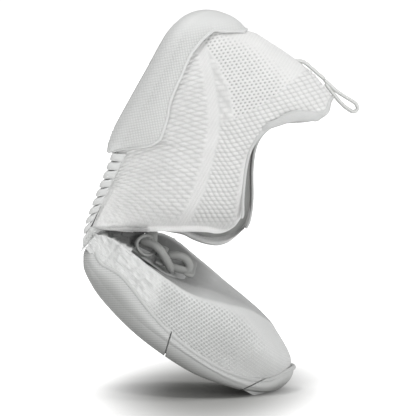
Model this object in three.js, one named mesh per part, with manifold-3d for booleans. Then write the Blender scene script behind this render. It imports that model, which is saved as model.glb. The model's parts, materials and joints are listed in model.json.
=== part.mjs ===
// Soft knit lace-up trainer for a right foot, folded in half at its arch and standing on its toe.
// Every piece is drawn in one flat frame, as if the shoe lay open on a table: x runs from heel to
// toe, z is up and the fold's axis is the origin. Each half is then turned into its folded place.
import * as THREE from 'three';
import { mergeVertices } from 'three/addons/utils/BufferGeometryUtils.js';
import Module from 'manifold-3d';

// ---------------------------------------------------------------- driving dimensions (mm, degrees)
const HEEL_PITCH = 119; // how far each half is turned from flat when folded
const FORE_PITCH = 38;
const SOLE_Z = -16.3; // underside of the rubber
const FIT = 0.3; // air left between pieces that touch
const KNIT = 1.6; // thickness of the knit upper
const LINING = 1;
const COUNTER = 1.2; // stiffener inside the heel
const PADDING = 4;
const RUBBER_FLOOR = 3;
const FOAM_TOP = -3.2;
const BOARD_TOP = -1.5;
const INSOLE_TOP = 2.4;
const COUNTER_TOP = 29.5;
const PADDING_FOOT = 34;
const TREAD_DEPTH = 1.4; // a pad's thickness and how far it stands out of the rubber
const TREAD_PROUD = 0.5;
const RIB_COUNT = 10;
const RIB_SLOT = 1.1;
const RIB_PITCH = 4.52;
const RIB_LATERAL = -28.5; // the ribs' ends across the shoe
const RIB_MEDIAL = 24.5;
const WEB_INSET = 6; // the sheet inside the ribs is this much narrower at each side
const TOE_AXIS = { x: 56, z: -5 }; // the toe bends about this line
const TOE_TRAVEL = 21;
const TOE_GAP = 1.7; // air each side of the toe's bend in the board and the insole
const GROOVE = 0.6; // slots that divide the rim
const RIM_TOP = -4.5; // the rim's height where its first slot meets the top edge
const BALL_PAD = [36, 54]; // the ball's tread, along the shoe
const BALL_PAD_HALF = 27;
const TOE_PAD = [64, 90];
const HEEL_PAD = [-120, -52];
const HEEL_PAD_INSET = 9; // how far the tread pads stay inside the outline
const TOE_PAD_INSET = 12;
const MIDSOLE_START = -49; // foam and board begin here in the heel half
const INSOLE_END = -15;
const SEAT = -0.9; // the arch's last rib keeps this far behind the fold's axis
const ROLL_RADIUS = 2.2; // collar binding
const BINDING_AIR = 1.5; // between the binding and the uneven edges below it
const CORD_RADIUS = 0.8; // pull loop
const PULL_HINGE = [-122.4, 0, 58.4]; // where the loop leaves its tape
const LACE = { width: 5.4, thick: 1.6 };
const OPENING_TOE = 51; // where the lacing's opening ends
const WIDE = 80; // half the reach of a cutting tool
const BEHIND = -140; // and how far it reaches past the heel, the toe, the sole and the collar
const BEYOND = 130;
const BELOW = -20;
const ABOVE = 40;

// The sole's outline seen from above, lateral side first, as [x, y] along each half.
const HEEL_PLAN = [
  [-128.2, 0], [-122, -17], [-108, -27], [-88, -31], [-62, -30.5], [-36, -29], [-12, -30], [12, -33],
  [12, 29], [-12, 26], [-36, 25.5], [-62, 28], [-88, 30], [-108, 26.5], [-122, 17],
];
const FORE_PLAN = [
  [-14, -30], [5, -34], [30, -42], [50, -45.5], [68, -45], [86, -39], [100, -28], [110, -13], [114.3, 6],
  [111, 23], [101, 34.5], [85, 41], [65, 44], [45, 43.5], [25, 39], [5, 31], [-14, 26],
];

// How each half's outline changes with height: z, the far end's x, a width factor, a sideways shift.
const HEEL_RUBBER = [
  [SOLE_Z, -113, 0.88, 0], [SOLE_Z + 3.3, -119.5, 0.95, 0], [-7, -124.8, 0.99, 0], [3, -128.2, 1, 0],
  [9, -127.9, 1, 0], [14, -127.3, 0.99, 0],
];
const HEEL_KNIT = [
  [-13, -115, 0.86, 0], [-7, -121, 0.89, 0], [3, -124.6, 0.92, 0], [13, -124.7, 0.96, 0],
  [20, -126, 0.97, 0], [34, -125.1, 0.94, 0], [45, -124.6, 0.9, 0], [56, -121.4, 0.86, 0],
  [67, -114.6, 0.82, 0],
];
const FORE_RUBBER = [
  [SOLE_Z, 114.3, 0.9, 0], [SOLE_Z + 4.3, 114.3, 0.97, 0], [-6, 114.3, 1, 0], [3, 114.3, 0.99, 0],
  [8, 114.3, 0.97, 0], [12, 113.7, 0.95, 0], [16, 112.2, 0.92, 0],
];
const FORE_KNIT = [
  [-13, 98, 0.9, 0], [-3, 101.6, 0.93, 0], [0, 106.4, 0.935, 0], [3, 109.4, 0.94, 0], [9, 110.6, 0.93, 0],
  [15.6, 110, 0.86, 1.5], [20.3, 107, 0.75, 4], [23.6, 102.5, 0.63, 6], [26.4, 96, 0.47, 8.5],
  [28.2, 88, 0.28, 11], [28.7, 80, 0.14, 12],
];

// Edges seen from the side, as [x, z].
const CUP_EDGE = [
  [-45.3, -10.6], [-49.2, -7], [-55.5, 2], [-59.8, 5.2], [-71, 4], [-80, 1.2], [-92, 0], [-103, -0.9],
  [-110, 0], [-118, 3], [-121.5, 6], [-125.2, 13], [-132, 13.6],
];
const COLLAR_EDGE = [
  [-34.6, 44.1], [-36.4, 51.4], [-40.6, 55], [-46.2, 56.2], [-55.5, 52.2], [-68.4, 46.6], [-79, 44],
  [-88.5, 44.8], [-94, 48.5], [-99.7, 53.6], [-104.6, 61], [-110, 66], [-118, 66.4], [-132, 66.4],
];
const RIM_EDGE = [
  [110, 15.6], [109.6, 8], [105.8, 3.6], [97.3, -0.7], [87.4, -3.1], [77, -4.4], [65, -5], [53, -4.5],
  [46.6, -3.7], [32.7, -1], [27.2, 0.6], [19.8, 1.9], [14.4, 1.2], [6.7, 0.4],
];
const ROCKER = [
  [-0.6, -2.2], [2.5, -6.9], [11.2, -11.3], [18.9, -13.6], [27, -15.2], [34, SOLE_Z], [60, SOLE_Z],
  [72.8, -14.8], [83, -12.6], [97.4, -8.2], [108.3, -3.4], [111.9, -0.5], [113.6, 2.6], [118, 9],
];
const FOLD_FOOT = [-9.4, -2.6]; // lower end of the heel half's folded front edge
const LATERAL_RIDGE = { y: -36, z: 12.3 }; // the vamp's opening slopes between its two ridges
const MEDIAL_RIDGE = { y: 30, z: 29 };

// ------------------------------------------------------------------------------------- finishes
const FINISHES = {
  rubber: { color: '#c9c8c4', roughness: 0.62 },
  tread: { color: '#b9b8b4', roughness: 0.8 },
  knit: { color: '#e4e3e0', roughness: 0.9 },
  padded: { color: '#b4b3b0', roughness: 0.95 },
  lining: { color: '#8d8c8a', roughness: 0.95 },
  foam: { color: '#efeee9', roughness: 0.85 },
  board: { color: '#a99f8d', roughness: 0.9 },
  plastic: { color: '#d8d6cf', roughness: 0.5 },
  lace: { color: '#77767a', roughness: 0.85 },
  cord: { color: '#bdbcb8', roughness: 0.8 },
};

// ----------------------------------------------------------------------------------- shape tools
const wasm = await Module();
wasm.setup();

/** The closed solid of a three.js geometry, ready for booleans. */
function solid(geometry) {
  const bare = geometry.clone();
  bare.deleteAttribute('normal');
  bare.deleteAttribute('uv');
  const merged = mergeVertices(bare, 1e-4);
  return new wasm.Manifold(new wasm.Mesh({
    numProp: 3,
    vertProperties: new Float32Array(merged.attributes.position.array),
    triVerts: new Uint32Array(merged.index.array),
  }));
}

/** A three.js geometry of a solid. */
function shown(body) {
  const { vertProperties, triVerts } = body.getMesh();
  const geometry = new THREE.BufferGeometry();
  geometry.setAttribute('position', new THREE.BufferAttribute(new Float32Array(vertProperties), 3));
  geometry.setIndex([...triVerts]);
  const flat = geometry.toNonIndexed();
  flat.computeVertexNormals();
  return flat;
}

/** A solid through stacked rings, each a loop of [x, y, z] that runs the same way round. */
function loft(rings) {
  const count = rings[0].length;
  const points = rings.flat();
  const faces = [];
  for (let r = 0; r + 1 < rings.length; r += 1) {
    for (let i = 0; i < count; i += 1) {
      const next = (i + 1) % count;
      const [a, b] = [r * count + i, r * count + next];
      faces.push(a, b, b + count, a, b + count, a + count);
    }
  }
  for (const [ring, turn] of [[0, true], [rings.length - 1, false]]) {
    const hub = points.length;
    const sum = rings[ring].reduce((s, p) => s.map((v, k) => v + p[k] / count), [0, 0, 0]);
    points.push(sum);
    for (let i = 0; i < count; i += 1) {
      const [a, b] = [ring * count + i, ring * count + ((i + 1) % count)];
      faces.push(...(turn ? [hub, b, a] : [hub, a, b]));
    }
  }
  const geometry = new THREE.BufferGeometry();
  geometry.setAttribute('position', new THREE.Float32BufferAttribute(points.flat(), 3));
  geometry.setIndex(faces);
  return solid(geometry);
}

/** A side profile of [x, z] points, made solid from y0 to y1. */
function prism(profile, y0 = -WIDE, y1 = WIDE) {
  const shape = new THREE.Shape(profile.map(([x, z]) => new THREE.Vector2(x, z)));
  const geometry = new THREE.ExtrudeGeometry(shape, { depth: y1 - y0, bevelEnabled: false });
  geometry.rotateX(Math.PI / 2);
  geometry.translate(0, y1, 0);
  return solid(geometry);
}

/** A block right across the shoe. */
function block([x0, x1], [z0, z1], y0 = -WIDE, y1 = WIDE) {
  return prism([[x0, z0], [x1, z0], [x1, z1], [x0, z1]], y0, y1);
}

/** A round cord of the given radius along [x, y, z] points. */
function cord(points, radius, steps, sides = 7) {
  const path = new THREE.CatmullRomCurve3(points.map((p) => new THREE.Vector3(...p)));
  const ring = [];
  for (let i = 0; i < sides; i += 1) {
    const turn = (2 * Math.PI * i) / sides;
    ring.push(new THREE.Vector2(radius * Math.cos(turn), radius * Math.sin(turn)));
  }
  return new THREE.ExtrudeGeometry(new THREE.Shape(ring), { extrudePath: path, steps });
}

/** A strip along rows of x, z, half its width and how far it rises per mm of y. */
function strip(line, thick, middle = 0) {
  const rings = line.map(([x, z, wide, tilt], i) => {
    const [ax, az] = line[Math.max(i - 1, 0)];
    const [bx, bz] = line[Math.min(i + 1, line.length - 1)];
    const length = Math.hypot(bx - ax, bz - az);
    const [nx, nz] = [(-(bz - az) / length) * thick / 2, ((bx - ax) / length) * thick / 2];
    return [[-wide, -1], [wide, -1], [wide, 1], [-wide, 1]]
      .map(([y, side]) => [x + side * nx, middle + y, z + side * nz + tilt * y]);
  });
  return loft(rings);
}

/** Points on the closed smooth curve through an outline's corners. */
function smoothPlan(corners, count) {
  const curve = new THREE.CatmullRomCurve3(
    corners.map(([x, y]) => new THREE.Vector3(x, y, 0)), true, 'centripetal');
  return curve.getPoints(count).slice(0, count).map(({ x, y }) => [x, y]);
}

/** An outline moved outwards by a distance, or inwards when it is negative. */
function offset(outline, distance) {
  const count = outline.length;
  return outline.map(([x, y], i) => {
    const [px, py] = outline[(i + count - 1) % count];
    const [qx, qy] = outline[(i + 1) % count];
    const length = Math.hypot(qx - px, qy - py);
    return [x + ((qy - py) / length) * distance, y - ((qx - px) / length) * distance];
  });
}

/** A profile's row at height z: the far end's x, the width factor and the sideways shift. */
function rowAt(profile, z) {
  const last = profile.length - 1;
  const above = profile.findIndex((row) => row[0] >= z);
  const hi = above < 0 ? last : Math.max(above, 1);
  const [a, b] = [profile[hi - 1], profile[hi]];
  const part = Math.min(Math.max((z - a[0]) / (b[0] - a[0]), 0), 1);
  return a.map((value, k) => value + (b[k] - value) * part).slice(1);
}

const HALVES = {
  heel: { plan: smoothPlan(HEEL_PLAN, 34), anchor: -60, end: -128.2 },
  fore: { plan: smoothPlan(FORE_PLAN, 38), anchor: 40, end: 114.3 },
};

/** The outline of a half at height z, `grow` mm outside its profile. */
function ringAt(half, profile, z, grow) {
  const [far, wide, shift] = rowAt(profile, z);
  const long = (far - half.anchor) / (half.end - half.anchor);
  const sized = half.plan.map(([x, y]) => {
    const reach = (x - half.anchor) * (half.end - half.anchor) > 0 ? long : 1;
    return [half.anchor + (x - half.anchor) * reach, shift + y * wide];
  });
  return offset(sized, grow).map(([x, y]) => [x, y, z]);
}

/** The solid between the outlines of a half at the given heights. */
function stack(half, profile, heights, grow = 0) {
  return loft(heights.map((z) => ringAt(half, profile, z, grow)));
}

/** Part of a stack that is open at top and bottom, with walls `thick` mm thick. */
function sleeve(half, profile, heights, grow, thick) {
  const inner = [heights[0] - 0.01, ...heights.slice(1, -1), heights.at(-1) + 0.01];
  const hollow = loft(inner.map((z) => ringAt(half, profile, z, grow - thick)));
  return stack(half, profile, heights, grow).subtract(hollow);
}

// -------------------------------------------------------------------------------------- building
const group = new THREE.Group();
group.name = 'knit_trainer';
const heel = new THREE.Group();
heel.rotation.y = THREE.MathUtils.degToRad(HEEL_PITCH);
const fore = new THREE.Group();
fore.rotation.y = THREE.MathUtils.degToRad(FORE_PITCH);
group.add(heel, fore);

/** Adds one named piece to a half. */
function add(parent, name, shape, finish) {
  const geometry = shape.isBufferGeometry ? shape : shown(shape);
  const material = new THREE.MeshStandardMaterial({ metalness: 0, ...FINISHES[finish] });
  const mesh = new THREE.Mesh(geometry, material);
  mesh.name = name;
  parent.add(mesh);
}

const lower = (edge, drop) => edge.map(([x, z]) => [x, z - drop]);

// ------------------------------------------------------------------------------------- heel half
const KNIT_HEIGHTS = [FOAM_TOP + FIT, 3, 13, 20, 34, 45, 56, 67];
const COLLAR_TOP = 66.4;
const CUP_TOP = 13.6;

/** Everything behind the fold's front edge and below the collar, both moved inwards. */
function heelSide(drop, inset = 0) {
  return prism([
    [BEHIND, BELOW], [FOLD_FOOT[0] - inset, BELOW], [FOLD_FOOT[0] - inset, FOLD_FOOT[1]],
    [COLLAR_EDGE[0][0] - inset, COLLAR_EDGE[0][1]], ...lower(COLLAR_EDGE.slice(1), drop),
    [BEHIND, COLLAR_TOP - drop],
  ]);
}

const cupFloor = SOLE_Z + RUBBER_FLOOR;
const cupHollow = stack(HALVES.heel, HEEL_KNIT, [cupFloor, -7, 3, 15], FIT);
const cupSide = prism([[BEHIND, BELOW], [CUP_EDGE[0][0], BELOW], ...CUP_EDGE, [BEHIND, CUP_TOP]]);
const padBottom = SOLE_Z - TREAD_PROUD;
const padTop = padBottom + TREAD_DEPTH;
const heelPad = (grow) => stack(
  HALVES.heel, HEEL_RUBBER, [padBottom, SOLE_Z + 1], grow - HEEL_PAD_INSET,
).intersect(block([HEEL_PAD[0], HEEL_PAD[1] + grow], [BELOW, 0]));
add(heel, 'heel_cup', stack(HALVES.heel, HEEL_RUBBER, HEEL_RUBBER.map((row) => row[0]))
  .subtract(cupHollow)
  .intersect(cupSide)
  .subtract(heelPad(FIT).intersect(block([BEHIND, 0], [BELOW, padTop + FIT]))), 'rubber');
add(heel, 'heel_tread', heelPad(0).intersect(block([BEHIND, 0], [padBottom, padTop])), 'tread');
const midsoleSide = block([BEHIND, MIDSOLE_START], [BELOW, 10]);
add(heel, 'heel_foam', stack(HALVES.heel, HEEL_KNIT, [cupFloor + FIT, -7, FOAM_TOP])
  .intersect(midsoleSide), 'foam');
add(heel, 'heel_board', stack(HALVES.heel, HEEL_KNIT, [FOAM_TOP + FIT, BOARD_TOP], -KNIT - FIT)
  .intersect(midsoleSide), 'board');
const liningInset = KNIT + COUNTER + 2 * FIT;
add(heel, 'insole_rear', stack(HALVES.heel, HEEL_KNIT, [BOARD_TOP + FIT, INSOLE_TOP],
  -liningInset - LINING - FIT).intersect(block([BEHIND, INSOLE_END], [BELOW, 10])), 'padded');
add(heel, 'rear_upper', sleeve(HALVES.heel, HEEL_KNIT, KNIT_HEIGHTS, 0, KNIT)
  .intersect(heelSide(0)), 'knit');
add(heel, 'heel_counter', sleeve(HALVES.heel, HEEL_KNIT, [BOARD_TOP + FIT, 3, 13, 20, COUNTER_TOP],
  -KNIT - FIT, COUNTER).intersect(prism([[BEHIND, BELOW], [-72, BELOW], [-84, COUNTER_TOP + 1],
  [BEHIND, COUNTER_TOP + 1]])), 'plastic');
add(heel, 'collar_padding', sleeve(
  HALVES.heel, HEEL_KNIT, [PADDING_FOOT, 45, 56, 67], -KNIT - FIT, PADDING,
).intersect(heelSide(0.4, 9)), 'padded');
const linedInset = (z) => -(z > COUNTER_TOP + 1 ? KNIT + PADDING + 2 * FIT : liningInset);
const LINING_HEIGHTS = [
  BOARD_TOP + FIT, 3, 13, 20, COUNTER_TOP + 0.5, PADDING_FOOT - 0.5, 45, 56, 67,
];
const liningRings = (extra) => LINING_HEIGHTS.map((z, i) => {
  const end = i === 0 ? -0.01 : Number(i === LINING_HEIGHTS.length - 1) * 0.01;
  return ringAt(HALVES.heel, HEEL_KNIT, z + (extra ? end : 0), linedInset(z) - extra);
});
add(heel, 'rear_lining', loft(liningRings(0)).subtract(loft(liningRings(LINING)))
  .intersect(heelSide(0.4, 3)), 'lining');

/** Height of the collar's edge above a point x along the shoe. */
function collarZ(along) {
  const x = Math.min(Math.max(along, -131), -40);
  const right = COLLAR_EDGE.findIndex(([ex]) => ex < x);
  const [a, b] = [COLLAR_EDGE[right - 1], COLLAR_EDGE[right]];
  return a[1] + ((b[1] - a[1]) * (x - a[0])) / (b[0] - a[0]);
}

// The binding follows the edge round the ankle, just above the walls that it covers.
const bindingPath = HALVES.heel.plan.map((_, i) => {
  let x = HALVES.heel.plan[i][0];
  let point = [x, 0, 0];
  for (let pass = 0; pass < 4; pass += 1) {
    point = ringAt(HALVES.heel, HEEL_KNIT, collarZ(x), -KNIT - PADDING / 2)[i];
    [x] = point;
  }
  const slope = (collarZ(point[0] + 2) - collarZ(point[0] - 2)) / 4;
  const rise = (ROLL_RADIUS + BINDING_AIR) / Math.hypot(slope, 1);
  return [point[0] - slope * rise, point[1], point[2] + rise];
}).filter(([x]) => x < -41);
const seam = bindingPath.findIndex(([, y], i) => i > 0 && y > 0 && bindingPath[i - 1][1] < 0);
const bindingRun = [...bindingPath.slice(Math.max(seam, 0)), ...bindingPath.slice(0, Math.max(seam, 0))];
add(heel, 'collar_binding', cord(bindingRun, ROLL_RADIUS, 44), 'padded');

// The loop's tape is stitched up the back of the heel, and its cord rises past the collar.
add(heel, 'pull_loop_tape', strip([[-126.6, 40], [-126, 46], [-124.5, 52], [-123.1, 56.5]]
  .map(([x, z]) => [x, z, 4.5, 0]), 1.4), 'cord');
add(heel, 'pull_loop', cord([[...PULL_HINGE], [-121.5, 0, 65], [-120.8, 0, 72], [-120, 0, 77],
  [-118, 0, 79.2], [-116.2, 0, 77], [-116.8, 0, 72], [-118.5, 0, 66.6]], CORD_RADIUS, 20), 'cord');

// ------------------------------------------------------------------------------------------ arch
const slotAt = (i) => ({
  out: [-45.5 + RIB_PITCH * i, -11.1 + 0.6 * i + 0.05 * Math.max(i - 6, 0) ** 3],
  in: [-47.6 + 4.3 * i, -5.7 + 0.24 * i],
});

/** One rib's side profile between two slots, with its outer corners rounded off. */
function ribProfile(i) {
  const [a, b] = [slotAt(i), slotAt(i + 1)];
  const half = RIB_SLOT / 2;
  const round = (slot) => Math.min(0.9, 0.3 * (slot.in[1] - slot.out[1]));
  return [
    [a.in[0] + half, a.in[1]], [a.out[0] + half, a.out[1] + round(a)],
    [a.out[0] + half + round(a), a.out[1]], [b.out[0] - half - round(b), b.out[1]],
    [b.out[0] - half, b.out[1] + round(b)], [b.in[0] - half, b.in[1]],
  ];
}

// The last rib lies under the fold and ends short of its axis, so that it can turn beside the rim.
const lastSlot = slotAt(RIB_COUNT - 1);
const LAST_RIB = [
  [lastSlot.out[0] + 0.7, -3.3], [SEAT - 0.5, -1.8], [SEAT - 0.5, 1.4], [-4.2, 1.5],
  [lastSlot.in[0], -1.1], [lastSlot.in[0] + 0.7, -2.9],
];
for (let i = 0; i < RIB_COUNT; i += 1) {
  const name = `arch_rib_${String(i + 1).padStart(2, '0')}`;
  const profile = i < RIB_COUNT - 1 ? ribProfile(i) : LAST_RIB;
  add(heel, name, prism(profile, RIB_LATERAL, RIB_MEDIAL), 'rubber');
}
const webHalf = (RIB_MEDIAL - RIB_LATERAL) / 2 - WEB_INSET;
add(heel, 'arch_web', strip([[-45.6, -4.6], [-36, -4], [-24, -3.4], [-13, -2.8]]
  .map(([x, z]) => [x, z, webHalf, 0]), LINING, (RIB_LATERAL + RIB_MEDIAL) / 2), 'lining');

// ------------------------------------------------------------------------------------- forefoot
const FORE_HEIGHTS = [FOAM_TOP + FIT, 3, 9, 15.6, 20.3, 23.6, 26.4, 28.2, 28.7];
const rimOuter = stack(HALVES.fore, FORE_RUBBER, FORE_RUBBER.map((row) => row[0]));
const rimHollow = stack(HALVES.fore, FORE_KNIT, [cupFloor, ...FORE_HEIGHTS.slice(0, 5)], FIT)
  .intersect(prism([...ROCKER.map(([x, z]) => [x, z + RUBBER_FLOOR]), [118, ABOVE], [-14, ABOVE],
    [-14, -2.2]]));
const rimSide = prism([...ROCKER, [118, 15.6], ...RIM_EDGE]);
const rubberRim = rimOuter.subtract(rimHollow).intersect(rimSide);

// The rim is divided by two slanting grooves: behind the ball's bend and in front of the bumper.
const grooveAt = (lowX, highX) => (z) => {
  const part = (Math.min(z, RIM_TOP) - SOLE_Z) / (RIM_TOP - SOLE_Z);
  return lowX + (highX - lowX) * part;
};
const flexGroove = grooveAt(58.6, TOE_AXIS.x);
const bumperGroove = grooveAt(94.5, 100.5);
const between = (low, high) => prism([
  [low(BELOW), BELOW], [high(BELOW), BELOW], [high(RIM_TOP), RIM_TOP],
  [high(20), 20], [low(20), 20], [low(RIM_TOP), RIM_TOP],
]);
const shifted = (edge, by) => (z) => edge(z) + by;
const padFlat = ([x0, x1], grow) => block(
  [x0 - grow, x1 + grow], [BELOW, 0], -BALL_PAD_HALF - grow, BALL_PAD_HALF + grow,
);
const padLayer = (top) => block([BELOW, BEYOND], [padBottom, top]);
add(fore, 'forefoot_rim', rubberRim
  .intersect(between(() => BELOW, shifted(flexGroove, -GROOVE / 2)))
  .subtract(padFlat(BALL_PAD, FIT).intersect(padLayer(padTop + FIT))), 'rubber');
add(fore, 'ball_tread', padFlat(BALL_PAD, 0).intersect(padLayer(padTop)), 'tread');

const foamSide = prism([
  ...ROCKER.slice(1, 11).map(([x, z]) => [x, z + RUBBER_FLOOR + FIT])
    .filter(([, z]) => z < FOAM_TOP - 0.5),
  [99, FOAM_TOP], [6, FOAM_TOP],
]);
const foreFoam = stack(HALVES.fore, FORE_KNIT, [cupFloor + FIT, FOAM_TOP]).intersect(foamSide);
const behindToe = between(() => 3, () => TOE_AXIS.x - TOE_GAP);
const aheadOfToe = between(() => TOE_AXIS.x + TOE_GAP, () => 100);
const foreBoard = stack(HALVES.fore, FORE_KNIT, [FOAM_TOP + FIT, BOARD_TOP], -KNIT - FIT);
const foreInsole = stack(
  HALVES.fore, FORE_KNIT, [BOARD_TOP + FIT, INSOLE_TOP], -KNIT - LINING - 2 * FIT,
);
add(fore, 'forefoot_foam', foreFoam.intersect(between(() => 8, shifted(flexGroove, -1.2))), 'foam');
add(fore, 'forefoot_board', foreBoard.intersect(behindToe), 'board');
add(fore, 'insole_front', foreInsole.intersect(behindToe), 'padded');

const vampEnd = TOE_AXIS.x - 0.5;
const vampSide = prism([
  [2.2, -10], [vampEnd, -10], [vampEnd, ABOVE], [24.4, ABOVE], [24.4, 27.2], [3.4, 11], [2.2, 8],
]);
const ridgeSlope = (MEDIAL_RIDGE.z - LATERAL_RIDGE.z) / (MEDIAL_RIDGE.y - LATERAL_RIDGE.y);
const ridgeZ = (y) => LATERAL_RIDGE.z + (y - LATERAL_RIDGE.y) * ridgeSlope;

/** Everything below the sloping opening. */
function underOpening() {
  return loft([BELOW, BEYOND].map((x) => [
    [x, -WIDE, -WIDE], [x, WIDE, -WIDE], [x, WIDE, ridgeZ(WIDE)], [x, -WIDE, ridgeZ(-WIDE)],
  ]));
}

/** The knit's closed dome over the foot, `grow` mm outside its profile and `drop` mm lower. */
function foreDome(grow, drop) {
  return loft(FORE_HEIGHTS.map((z, i) => {
    const near = i > 6 ? Math.max(grow, -2) : grow;
    const level = i === 0 ? z - Math.sign(drop) : z - drop;
    return ringAt(HALVES.fore, FORE_KNIT, z, near).map(([x, y]) => [x, y, level]);
  }));
}
const domeShell = foreDome(0, 0).subtract(foreDome(-KNIT, KNIT));
const openingSide = block([BELOW, OPENING_TOE], [-10, ABOVE]);
add(fore, 'vamp_upper', domeShell
  .intersect(vampSide)
  .subtract(openingSide.subtract(underOpening())), 'knit');

// The tongue is folded with the shoe: one leg lies on the forefoot, the other against the heel half.
const TONGUE_LINE = [
  [53, 16.5, 17, ridgeSlope], [40, 16.2, 17, ridgeSlope], [26, 14.6, 17, ridgeSlope],
  [12, 12.6, 16, 0.1], [6.5, 13, 16, 0], [4.6, 15.6, 16, 0], [8, 20.6, 15, 0], [20, 31, 14, 0],
  [34, 42, 12, 0], [46, 51.4, 11, 0],
];
add(fore, 'tongue', strip(TONGUE_LINE, 3), 'padded');

// Laces cross the tongue in two rows and end in a tied bow beside the lateral webbing loop.
const onTongue = (x, y, lift) => [x, y, 17 + ridgeSlope * y + lift];
const laceRow = (x, skew) => {
  const line = [[-21, 0.6], [-12, 2], [0, 2.4], [12, 2.3], [21, 1.2]];
  const half = LACE.thick / 2;
  return loft(line.map(([y, lift]) => {
    const [, , z] = onTongue(x, y, lift + half + 0.9);
    const mid = x + skew * y;
    return [[mid - LACE.width / 2, z - half], [mid + LACE.width / 2, z - half],
      [mid + LACE.width / 2, z + half], [mid - LACE.width / 2, z + half]].map(([px, pz]) => [px, y, pz]);
  }).reverse());
};
add(fore, 'lace_row_front', laceRow(44, 0.06), 'lace');
add(fore, 'lace_row_rear', laceRow(30, -0.06), 'lace');
add(fore, 'lace_loop', cord([[15.4, -16, 21.4], [16.4, -19.4, 18.4], [19, -20.6, 16.8], [22.2, -19.6, 17.6],
  [23.4, -16, 19.8], [21.4, -12.4, 22], [17.8, -12, 22.6]], 0.9, 14), 'lace');
const knot = new THREE.SphereGeometry(1, 14, 8);
knot.scale(4.2, 3.6, 2.6);
knot.rotateX(Math.PI / 2);
knot.translate(37, -3, 25.6);
add(fore, 'lace_knot', solid(knot), 'lace');
add(fore, 'lace_bow_front', cord([[41.6, -2, 25.2], [44, 0.8, 26.2], [47, 0.8, 26.2], [48.2, -2.4, 25.4],
  [46, -5, 24.6], [41.8, -5, 24.5]], 1.3, 14), 'lace');
add(fore, 'lace_bow_rear', cord([[32.2, -3.6, 25.2], [28, -7, 24.4], [24.6, -6, 24], [24.4, -1.6, 24.9],
  [28, 1, 26], [32.6, -0.8, 25.9]], 1.3, 14), 'lace');

// ------------------------------------------------------------------------------------------- toe
const toeRise = Math.tan(THREE.MathUtils.degToRad(TOE_TRAVEL));
const toeEdge = (z) => TOE_AXIS.x + 0.7 + Math.max(z - TOE_AXIS.z, 0) * toeRise;
const toeSide = prism([
  [toeEdge(-10), -10], [BEYOND, -10], [BEYOND, ABOVE], [toeEdge(ABOVE), ABOVE],
  [toeEdge(TOE_AXIS.z), TOE_AXIS.z],
]);
const treadRun = ROCKER.slice(6, 10);
const treadBand = (low, high) => prism([
  ...treadRun.map(([x, z]) => [x, z + low]), ...treadRun.toReversed().map(([x, z]) => [x, z + high]),
]);
const toePad = (grow) => stack(HALVES.fore, FORE_RUBBER, [-24, 0], grow - TOE_PAD_INSET)
  .intersect(block([TOE_PAD[0] - grow, TOE_PAD[1] + grow], [-30, 10]));
add(fore, 'toe_rim', rubberRim
  .intersect(between(shifted(flexGroove, GROOVE / 2), shifted(bumperGroove, -GROOVE / 2)))
  .subtract(toePad(FIT).intersect(treadBand(-3, TREAD_DEPTH - TREAD_PROUD + FIT))), 'rubber');
add(fore, 'toe_bumper', rubberRim
  .intersect(between(shifted(bumperGroove, GROOVE / 2), () => BEYOND)), 'rubber');
add(fore, 'toe_tread', toePad(0)
  .intersect(treadBand(-TREAD_PROUD, TREAD_DEPTH - TREAD_PROUD)), 'tread');
add(fore, 'toe_foam', foreFoam.intersect(between(shifted(flexGroove, 1.2), () => 98)), 'foam');
add(fore, 'toe_board', foreBoard.intersect(aheadOfToe), 'board');
add(fore, 'insole_toe', foreInsole.intersect(aheadOfToe), 'padded');
add(fore, 'toe_box_upper', domeShell.intersect(toeSide), 'knit');
const flexFoot = TOE_AXIS.z + 3.5;
add(fore, 'vamp_flex_panel', domeShell.intersect(prism([
  [vampEnd + FIT, flexFoot], [toeEdge(flexFoot) - FIT, flexFoot], [toeEdge(ABOVE) - FIT, ABOVE],
  [vampEnd + FIT, ABOVE],
])), 'knit');
const puffFoot = INSOLE_TOP + FIT;
const puffBand = prism([[95, puffFoot], [BEYOND, puffFoot], [BEYOND, ABOVE], [101, ABOVE]]);
add(fore, 'toe_puff', foreDome(-KNIT - 2 * FIT, KNIT + FIT)
  .subtract(foreDome(-KNIT - 2 * FIT - LINING, KNIT + FIT + LINING))
  .intersect(puffBand), 'plastic');

// The part stands on the floor with the middle of its plan at the origin.
group.updateMatrixWorld(true);
const box = new THREE.Box3().setFromObject(group, true);
group.position.set(-(box.min.x + box.max.x) / 2, -(box.min.y + box.max.y) / 2, -box.min.z);

export default group;
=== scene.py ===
"""Soft knit lace-up trainer, folded in half at its ribbed arch and standing on its toe.

Every piece is drawn in millimetres in one flat frame, as if the shoe lay open on a bench: x runs
from heel to toe, y to the medial side, z up, with the fold's axis at the origin. A Half turns
flat points into their folded place.
"""
import json
import logging
import math
from dataclasses import dataclass, field
from enum import Enum

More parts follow.
